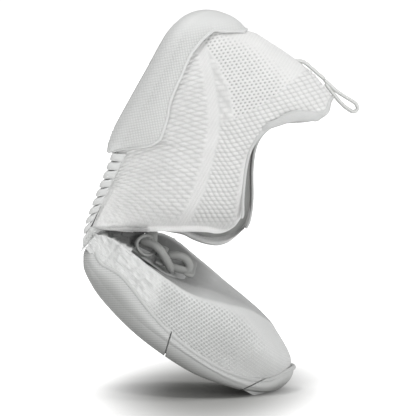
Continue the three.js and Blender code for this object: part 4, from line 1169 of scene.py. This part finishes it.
# ----------------------------------------------------------------------------------------- forefoot
@dataclass
class ForeKnit:
    """The knit over the forefoot: low crumpled side, sloping throat and rounded toe box."""

    rows: int = 190
    cols: int = 760
    stations: list = field(default_factory=lambda: [  # base x, y; ridge x, y, z; middle x; lean
        (-1.0, -29.0, -0.8, -28.6, 8.4, 4.0, 0.3),
        (8.0, -33.0, 8.0, -31.6, 11.6, 9.0, 0.27),
        (30.0, -39.5, 30.0, -35.5, 12.2, 26.0, 0.27),
        (50.0, -42.4, 50.0, -37.5, 13.6, 44.0, 0.27),
        (68.0, -41.8, 65.0, -32.0, 18.6, 60.0, 0.2),
        (85.0, -36.2, 77.0, -19.0, 22.6, 74.0, 0.1),
        (97.0, -27.0, 86.0, -8.0, 23.2, 80.0, 0.04),
        (105.5, -13.5, 91.0, 0.0, 22.9, 82.0, 0.0),
        (109.3, 4.0, 93.0, 7.0, 22.6, 83.0, 0.0),
        (106.3, 19.0, 90.0, 13.0, 22.9, 82.0, 0.0),
        (97.3, 30.0, 84.0, 18.0, 23.5, 80.0, 0.04),
        (82.0, 37.4, 75.0, 22.0, 23.8, 74.0, 0.1),
        (64.0, 40.6, 62.0, 26.0, 24.0, 60.0, 0.2),
        (45.0, 40.4, 45.0, 28.0, 24.6, 44.0, 0.27),
        (25.0, 36.3, 25.0, 28.5, 24.0, 26.0, 0.27),
        (8.0, 30.6, 11.0, 27.5, 12.6, 10.0, 0.27),
        (-1.0, 26.6, -0.8, 26.0, 7.0, 4.0, 0.3)])
    middle: list = field(default_factory=lambda: [  # x, y, z of the throat's lowest line
        (0, -4, 5.0), (6, -4, 6.4), (14, -4, 8.0), (24, -4, 10.0), (34, -3, 12.5),
        (44, 0, 15.8), (53, 2, 18.6), (62, 4, 20.9), (70, 6, 22.4), (78, 7, 23.2),
        (84, 8, 23.5)])
    bend: tuple = (46.0, 72.0)  # x where the toe's bend starts and ends

    def grid(self) -> tuple[Array, Array]:
        """The knit's flat points and each row's share of the way over the ridge."""
        s = spline(self.stations, self.cols)
        base, ridge = s[:, 0:2], s[:, 2:5]
        line = spline(self.middle, 400)
        mid = np.stack([s[:, 5], np.interp(s[:, 5], line[:, 0], line[:, 1]),
                        np.interp(s[:, 5], line[:, 0], line[:, 2])], 1)
        under = Edge([(-2, 1.0), (3, -1.0), (10, -4.5), (20, -7), (110, -7)]).at(base[:, :1])
        low = np.concatenate([base, under], 1)
        foot = np.concatenate([base, np.zeros((len(s), 1))], 1)
        foot[:, 2] = np.minimum(0.0, ridge[:, 2] * 0.2 - 1.0)
        lean = s[:, 6:7]
        belly = foot + (ridge - foot) * np.concatenate([lean, lean, lean * 0.2 + 0.64], 1)
        inner = ridge + (mid - ridge) * [0.42, 0.42, 0.60]
        past = mid + (mid - inner) * [0.06, 0.06, 0.0] - [0.0, 0.0, 0.25]
        knots = np.stack([low, foot, belly, ridge, inner, mid, past], 0)
        grid = np.stack([spline(knots[:, j], self.rows) for j in range(self.cols)], 1)
        run = np.linspace(0, 1, self.rows)[:, None]
        legs = np.linalg.norm(np.diff(knots, axis=0), axis=2)
        over = (legs[:3].sum(0) / legs.sum(0))[None, :]
        return grid, run / over

    def build(self) -> None:
        """Builds the forefoot's knit."""
        flat, over = self.grid()
        out = -turned(flat)[2]
        world = standing(FORE.place(flat))
        x, z = world[..., 0], world[..., 2]
        cloth = lengths(flat)
        along = flat[..., 0]
        sideways = np.abs(out[..., 1])
        deep = smoothstep(over, 0.98, 1.12) * (1 - smoothstep(along, 34.0, 70.0))
        wall = 1 - smoothstep(over, 0.9, 1.06)
        side = smoothstep(sideways, 0.25, 0.6)
        dots = (smoothstep(along + 0.35 * flat[..., 2], 36.0, 46.0)
                * (1 - smoothstep(along - 0.4 * flat[..., 2], 70.0, 96.0)) * side
                * (1 - smoothstep(over, 0.78, 1.0)))
        ribs = smoothstep(along, 62.0, 92.0) * (1 - smoothstep(over, 0.95, 1.25))
        bunch = (1 - smoothstep(along, 26.0, 52.0)) * smoothstep(over, 0.1, 0.35) * wall
        holes = lattice(x, z + 0.28 * x, 2.3, 1.95, 0.72)
        lines = 0.5 + 0.5 * np.sin(cloth[..., 0] * 2 * math.pi / 1.5)
        rows = 0.5 + 0.5 * np.sin(cloth[..., 1] * 2 * math.pi / 1.5)
        creases = crumple(along * 0.8, flat[..., 2] * 1.25 + 0.2 * along, 71, 4.2)
        push = (-0.5 * dots * holes + 0.14 * ribs * lines * rows + bunch * 1.5 * (creases - 0.35)
                + 0.25 * deep * value_noise(along / 7, flat[..., 1] / 7, 9)
                + 0.05 * value_noise(x / 0.8, z / 0.8, 29))
        # Painted shade: in the holes and between the ribs, deep in the throat, in the bunched creases, and past
        # the ridge.
        dark = (dots * holes * 0.42 + ribs * (1 - lines * rows) * 0.13 + deep * 0.9
                + bunch * 0.3 * np.clip(0.45 - creases, 0, 1))
        shade = smoothstep(over, 0.95, 1.15) * 0.28
        edge = smoothstep(np.arange(self.rows)[:, None] + 0 * push, 0, 6)
        skin = flat + out * (push * edge)[..., None]
        piece = Skin(FORE.place(skin), cloth, {"painted_shade": np.clip(np.maximum(dark, shade), 0, 1)})
        made = piece.build("forefoot_knit", SHADED_FORE_YARN)
        bend(made, ("forefoot", "toe"), "knit", [FORE.place([x, 0.0, 0.0]) for x in self.bend],
             "vamp_upper", "vamp_flex_panel", "toe_box_upper", "toe_puff")


@dataclass
class FoldWeb:
    """The strip of knit across the fold, one at each side."""

    heel: HeelShape = field(default_factory=HeelShape)
    rows: int = 120
    cols: int = 110

    def build_side(self, side: Side, heights: tuple, fore: list, depth: list) -> None:
        """One side's web, a channel from the heel half's folded edge to the forefoot's.

        Args:
            side: the side of the shoe.
            heights: the lowest and highest point on the heel's edge.
            fore: flat points of the forefoot's edge.
            depth: millimetres pushed inwards, from the sole's end to the open end.
        """
        h = np.linspace(*heights, self.rows)
        line = self.heel.fold_lateral if side is Side.LATERAL else self.heel.fold_medial
        x = Edge(line).at(h) - 1.2
        a = standing(HEEL.place(self.heel.point(self.heel.share_at(side, x), h, -0.6)))
        b = standing(FORE.place(spline(fore, self.rows)))
        inward = np.interp(np.linspace(0, 1, self.rows), np.linspace(0, 1, len(depth)), depth)
        deep = (a + b) / 2
        deep[:, 1] -= side.value * inward
        sunk_a, sunk_b = a * 0.8 + deep * 0.2, b * 0.8 + deep * 0.2
        for edge in (sunk_a, sunk_b):
            edge[:, 1] -= side.value * inward * 0.55
        knots = np.stack([a, sunk_a, deep, sunk_b, b], 1)
        grid = np.stack([spline(row, self.cols) for row in knots])
        t = np.linspace(0, 1, self.cols)[None, :]
        creases = crumple(grid[..., 0] * 1.0, grid[..., 2] * 1.1, 91 + side.value, 3.6)
        edge = smoothstep(t + 0 * creases, 0, 0.1) * smoothstep(1 - t + 0 * creases, 0, 0.1)
        out = turned(grid)[2]
        sign = np.where(np.sum(out[..., 1]) * side.value < 0, -1.0, 1.0)
        skin = grid + out * sign * (edge * 1.2 * (creases - 0.3))[..., None]
        # Painted shade, deepest where the web sinks inwards, and in its creases.
        rim = np.minimum(np.abs(a[:, 1]), np.abs(b[:, 1]))[:, None]
        sunk = smoothstep(rim - np.abs(skin[..., 1]), 0.8, 6.0)
        mark = np.clip(sunk * 0.9 + 0.3 * np.clip(0.4 - creases, 0, 1), 0, 1)
        points = np.array(FOLD) + skin * MM
        name = "fold_web_lateral" if side is Side.LATERAL else "fold_web_medial"
        piece = Skin(points, lengths(skin), {"painted_shade": mark}).build(name, SHADED_FORE_YARN)
        span = (1.2, 4.4) if side is Side.LATERAL else (-0.9, 1.5)
        bend(piece, ("forefoot", "heel"), "knit",
             [np.array(FOLD) + OPEN_WAY * d * MM for d in span])

    def build(self) -> None:
        """Builds both webs."""
        self.build_side(Side.LATERAL, (-5.0, 20.0),
                        [(-1.4, -28.6, -3.0), (-1.0, -28.8, 2.0), (-0.2, -28.8, 7.6),
                         (6.0, -31.0, 10.8), (17.0, -33.0, 12.0)], [0.6, 2.5, 8.0, 13.0, 16.0])
        self.build_side(Side.MEDIAL, (-5.0, 27.5),
                        [(-1.4, 26.0, -3.0), (-0.4, 26.0, 5.0), (9.0, 27.2, 11.4),
                         (20.6, 28.2, 22.4)], [0.5, 2.0, 4.0, 5.0])


@dataclass
class Fittings:
    """The tongue, the laces and the insoles."""

    def build_tongue(self) -> None:
        """The padded tongue, bent back on itself in the fold."""
        line = spline([(50, 14.6), (43, 14.2), (34, 13.4), (24, 12.2), (14, 10.6), (8, 11.2),
                       (5.6, 14.6),
                       (9.0, 19.6), (20, 29.6), (33, 40.4), (43, 48.6)], 240)
        width = Edge([(0, 15.5), (0.4, 16.5), (0.6, 15.5), (0.9, 13.0), (1.0, 10.5)])
        rows, cols = 240, 64
        s = np.linspace(0, 1, rows)
        turn = np.linspace(0, 2 * math.pi, cols + 1)
        tangent = np.gradient(line, axis=0)
        tangent /= np.linalg.norm(tangent, axis=1, keepdims=True)
        normal = np.stack([-tangent[:, 1], tangent[:, 0]], 1)
        half = width.at(s)[:, None] * np.sign(np.cos(turn)) * np.abs(np.cos(turn)) ** 0.8
        ends = np.sqrt(np.clip(1 - np.abs(2 * s - 1) ** 14, 0, 1))[:, None]
        thick = 1.9 * ends * np.sin(turn) * (1 + 0.1 * value_noise(s[:, None] * 26, half / 9, 13))
        channels = 1 - 0.16 * smoothstep(np.abs(np.sin(s * math.pi * 9)), 0.25, 0.0)[:, None]
        thick = thick * channels
        y = half * ends - 2.0
        lift = 0.1 * y * smoothstep(s, 0.35, 0.0)[:, None]
        flat = np.stack([line[:, :1] + normal[:, :1] * thick, y + 0 * thick,
                         line[:, 1:] + normal[:, 1:] * thick + lift], -1)
        tongue = Skin(FORE.place(flat), lengths(flat)).build("tongue_pad", PADDED, weld=True)
        bend(tongue, ("forefoot", "heel"), "padded",
             [np.array(FOLD) + np.array([0.0, 0.0, h]) * MM for h in (3.0, 9.5)],
             "tongue", fill=0.4)

    def build_laces(self) -> None:
        """The lace rows, the webbing loop that the lace runs through, and its tied bow."""
        runs = (
            ("lace_row_toe", "lace_row_front", 2.4, 0.9, (1, 0, 0.4),
             [(45, -21, 18.5), (44.6, -16, 20.2), (44, -4, 20.8), (43.6, 8, 21.2), (43, 20, 22)]),
            ("lace_row_throat", "lace_row_rear", 2.4, 0.9, (1, 0, 0.4),
             [(31, -21, 14.6), (31, -15, 16.6), (30, -4, 16.8), (29, 8, 17.4), (28, 20, 19)]),
            ("webbing_loop", "lace_loop", 1.4, 0.9, (0, 1, 0),
             [(20.5, -15.5, 21.9), (17.6, -18.5, 21.0), (16.2, -20.5, 18.2), (17.0, -21.5, 15.4),
              (20.0, -22, 13.8), (23.6, -21, 14.2), (25.6, -18.5, 16.6), (24.8, -16, 19.6)]),
            ("lace_tied", "lace_knot", 2.2, 2.0, (0, 1, 0),
             [(17.6, -17, 17.6), (19.6, -19.5, 18.8), (22.6, -21.5, 20.2), (27.0, -22.5, 20.3),
              (31.7, -22, 18.6), (35.5, -20, 16.6), (38.0, -16, 15.6)]),
            ("bow_toe", "lace_bow_front", 2.0, 1.9, (0, 1, 0),
             [(33.4, -16.5, 17.0), (32.2, -18, 20.2), (35.2, -19.5, 23.0), (38.9, -20, 24.2),
              (42.4, -19.5, 23.0), (43.2, -19, 20.4), (40.2, -19, 18.6), (36.8, -18, 17.0),
              (34.4, -15.5, 16.2)]),
            ("bow_throat", "lace_bow_rear", 3.0, 1.1, (1.0, 0.0, 0.5),
             [(22.6, -14, 17.0), (21.0, -14.5, 20.4), (19.0, -14, 23.4), (17.2, -13, 26.0)]),
        )
        for name, node, wide, thick, face, points in runs:
            path = spline(points, 150)
            lace = sweep(FORE.place(path), wide * MM, thick * MM, name, LACE,
                         face=tuple(FORE.turn(face)), sides=22)
            ride(lace, "forefoot", "lace", node)

    def build_insoles(self) -> None:
        """The insole's three lengths, crowned and soft."""
        parts = (
            ("insole_heel", "insole_rear", "heel", HEEL,
             [(-16, 0), (-17, -19), (-36, -22.5), (-62, -23.5), (-88, -24), (-106, -19),
              (-117, 0), (-106, 18), (-88, 22), (-62, 20.5), (-36, 19), (-17, 17)]),
            ("insole_ball", "insole_front", "forefoot", FORE,
             [(4, 0), (5, -26), (30, -34), (52, -37.6), (53.8, -30), (53.8, 30), (52, 36),
              (30, 32.5), (5, 24)]),
            ("insole_toe_pad", "insole_toe", "toe", FORE,
             [(58, 0), (58, -30), (60, -37), (80, -33), (94, -22), (100.5, 4), (94, 24),
              (80, 33), (60, 36), (58, 28)]),
        )
        for name, node, body, half, outline in parts:
            plan = spline(outline, 301, closed=True)[:-1]
            x0, x1 = plan[:, 0].min(), plan[:, 0].max()
            inner = min(18.0, (x1 - x0) / 2 - 2)
            spine = np.stack([np.clip(plan[:, 0], x0 + inner, x1 - inner),
                              np.zeros(len(plan))], 1)
            steps = [(s, 0.8, -1.1) for s in np.linspace(1, 0, 6)]
            steps += [(0, 0.8 - 0.8 * math.sin(a), 0.5 - 1.6 * math.cos(a))
                      for a in np.linspace(0.2, math.pi - 0.3, 12)]
            steps += [(s, 0.8, 2.05 + 0.5 * s) for s in np.linspace(0.02, 1, 26)]
            flat = ringed(plan, spine, steps)
            pad = Skin(half.place(flat), lengths(flat)).build(name, LINING, weld=True)
            ride(pad, body, "padded", node, fill=0.7)

    def build(self) -> None:
        """Builds the fittings and gives the hidden boards and foams their materials."""
        self.build_tongue()
        self.build_laces()
        self.build_insoles()
        kept = {FOAM: ("heel_foam", "forefoot_foam", "toe_foam"),
                BOARD: ("heel_board", "forefoot_board", "toe_board")}
        for finish, nodes in kept.items():
            for node in nodes:
                frame["nodes"][node].material_slots[0].material = finish.material()


# ------------------------------------------------------------------------------------------- stage
@dataclass
class Studio:
    """The floor, the lights and the camera."""

    turn: float = 2.0  # degrees round from straight on
    tilt: float = 3.0  # degrees above the floor
    distance: float = 1.7
    wide: float = 0.1935  # metres across the view at the near side
    aim: tuple = (56.7, -33.0, 19.5)  # mm right of, across and above the fold's axis

    def build(self) -> None:
        """Builds the stage."""
        self.floor()
        self.lights()
        self.camera()

    def floor(self) -> None:
        """A pale floor with a painted shadow: painted darker in a pool under the shoe.

        Away from the pool it also glows, far more to the camera than to the shoe.
        """
        mesh = bpy.data.meshes.new("floor")
        size = 12.0
        mesh.from_pydata([(-size, -size, 0), (size, -size, 0), (size, size, 0), (-size, size, 0)],
                         [], [(0, 1, 2, 3)])
        floor = bpy.data.objects.new("floor", mesh)
        bpy.context.scene.collection.objects.link(floor)
        paint = bpy.data.materials.new("matt_white_floor_painted_shadow")
        paint.use_nodes = True
        tree = paint.node_tree
        shader = tree.nodes["Principled BSDF"]
        shader.inputs["Roughness"].default_value = 0.9
        shader.inputs["Specular IOR Level"].default_value = 0.0
        shader.inputs["Emission Color"].default_value = (1.0, 1.0, 1.0, 1.0)
        place = add(tree, "ShaderNodeTexCoord").outputs["Object"]
        moved = add(tree, "ShaderNodeVectorMath", {1: (0.006, 0.0, 0.0)}, {0: place},
                    operation="ADD").outputs[0]
        pool = add(tree, "ShaderNodeVectorMath", {1: (1 / 0.07, 1 / 0.26, 0.0)}, {0: moved},
                   operation="MULTIPLY").outputs[0]
        far = add(tree, "ShaderNodeVectorMath", links={0: pool}, operation="LENGTH")
        open_floor = add(tree, "ShaderNodeMapRange", {"From Min": 0.2, "From Max": 1.3},
                         {"Value": far.outputs["Value"]}, interpolation_type="SMOOTHSTEP")
        # Painted shadow: the floor's colour darkens in a pool under the shoe.
        painted_shadow_tone = add(tree, "ShaderNodeMix", {6: linear("#b0b0ae"), 7: linear("#fafafa")},
                         {0: open_floor.outputs[0]}, data_type="RGBA")
        tree.links.new(painted_shadow_tone.outputs[2], shader.inputs["Base Color"])
        seen = add(tree, "ShaderNodeLightPath").outputs["Is Camera Ray"]
        reach = add(tree, "ShaderNodeMapRange", {"To Min": 0.12, "To Max": 1.0}, {"Value": seen})
        glow = add(tree, "ShaderNodeMath", links={0: open_floor.outputs[0],
                                                  1: reach.outputs[0]}, operation="MULTIPLY")
        tree.links.new(glow.outputs[0], shader.inputs["Emission Strength"])
        mesh.materials.append(paint)

    def lights(self) -> None:
        """Soft light from all round, brighter to the camera than to the shoe, and three lamps."""
        world = bpy.data.worlds.new("studio")
        bpy.context.scene.world = world
        world.use_nodes = True
        tree = world.node_tree
        tree.nodes.clear()
        seen = add(tree, "ShaderNodeLightPath").outputs["Is Camera Ray"]
        up = add(tree, "ShaderNodeTexCoord").outputs["Generated"]
        high = add(tree, "ShaderNodeSeparateXYZ", links={0: up}).outputs["Z"]
        sky = add(tree, "ShaderNodeMapRange", {"From Min": 0.0, "From Max": 0.9, "To Min": 0.36,
                                               "To Max": 0.60}, {"Value": high}).outputs[0]
        power = add(tree, "ShaderNodeMix", {3: 1.1}, {0: seen, 2: sky}).outputs[0]
        glow = add(tree, "ShaderNodeBackground", {"Color": (1, 1, 1, 1)}, {"Strength": power})
        add(tree, "ShaderNodeOutputWorld", links={"Surface": glow.outputs[0]})
        for name, place, size, watts in (
            ("key", (-0.35, -0.8, 1.45), 0.4, 6.2),
            ("right", (1.2, -1.3, 0.2), 0.5, 11.5),
            ("top", (0.0, 0.1, 1.4), 0.8, 2.8),
        ):
            light = bpy.data.lights.new(name, "AREA")
            light.shape, light.size, light.energy = "DISK", size, watts
            lamp = bpy.data.objects.new(name, light)
            lamp.location = place
            toward = Vector((0, 0, 0.08)) - Vector(place)
            lamp.rotation_euler = toward.to_track_quat("-Z", "Y").to_euler()
            bpy.context.scene.collection.objects.link(lamp)

    def camera(self) -> None:
        """A long lens, turned a little and raised a little."""
        data = bpy.data.cameras.new("camera")
        data.sensor_width = 36.0
        data.lens = 36.0 * self.distance / self.wide
        camera = bpy.data.objects.new("camera", data)
        aim = FOLD + Vector(self.aim) * MM
        a, e = math.radians(self.turn), math.radians(self.tilt)
        back = Vector((math.sin(a) * math.cos(e), -math.cos(a) * math.cos(e), math.sin(e)))
        camera.location = aim + back * self.distance
        camera.rotation_euler = (-back).to_track_quat("-Z", "Y").to_euler()
        bpy.context.scene.collection.objects.link(camera)
        bpy.context.scene.camera = camera


def main() -> None:
    """Builds the shoe and its stage."""
    logging.basicConfig(level=logging.INFO, format="%(name)s %(message)s")
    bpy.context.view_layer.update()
    bpy.context.scene.view_settings.view_transform = "Standard"
    Studio().build()
    HeelKnit().build()
    Sole().build()
    ForeKnit().build()
    FoldWeb().build()
    Fittings().build()


if __name__ == "__main__":
    main()
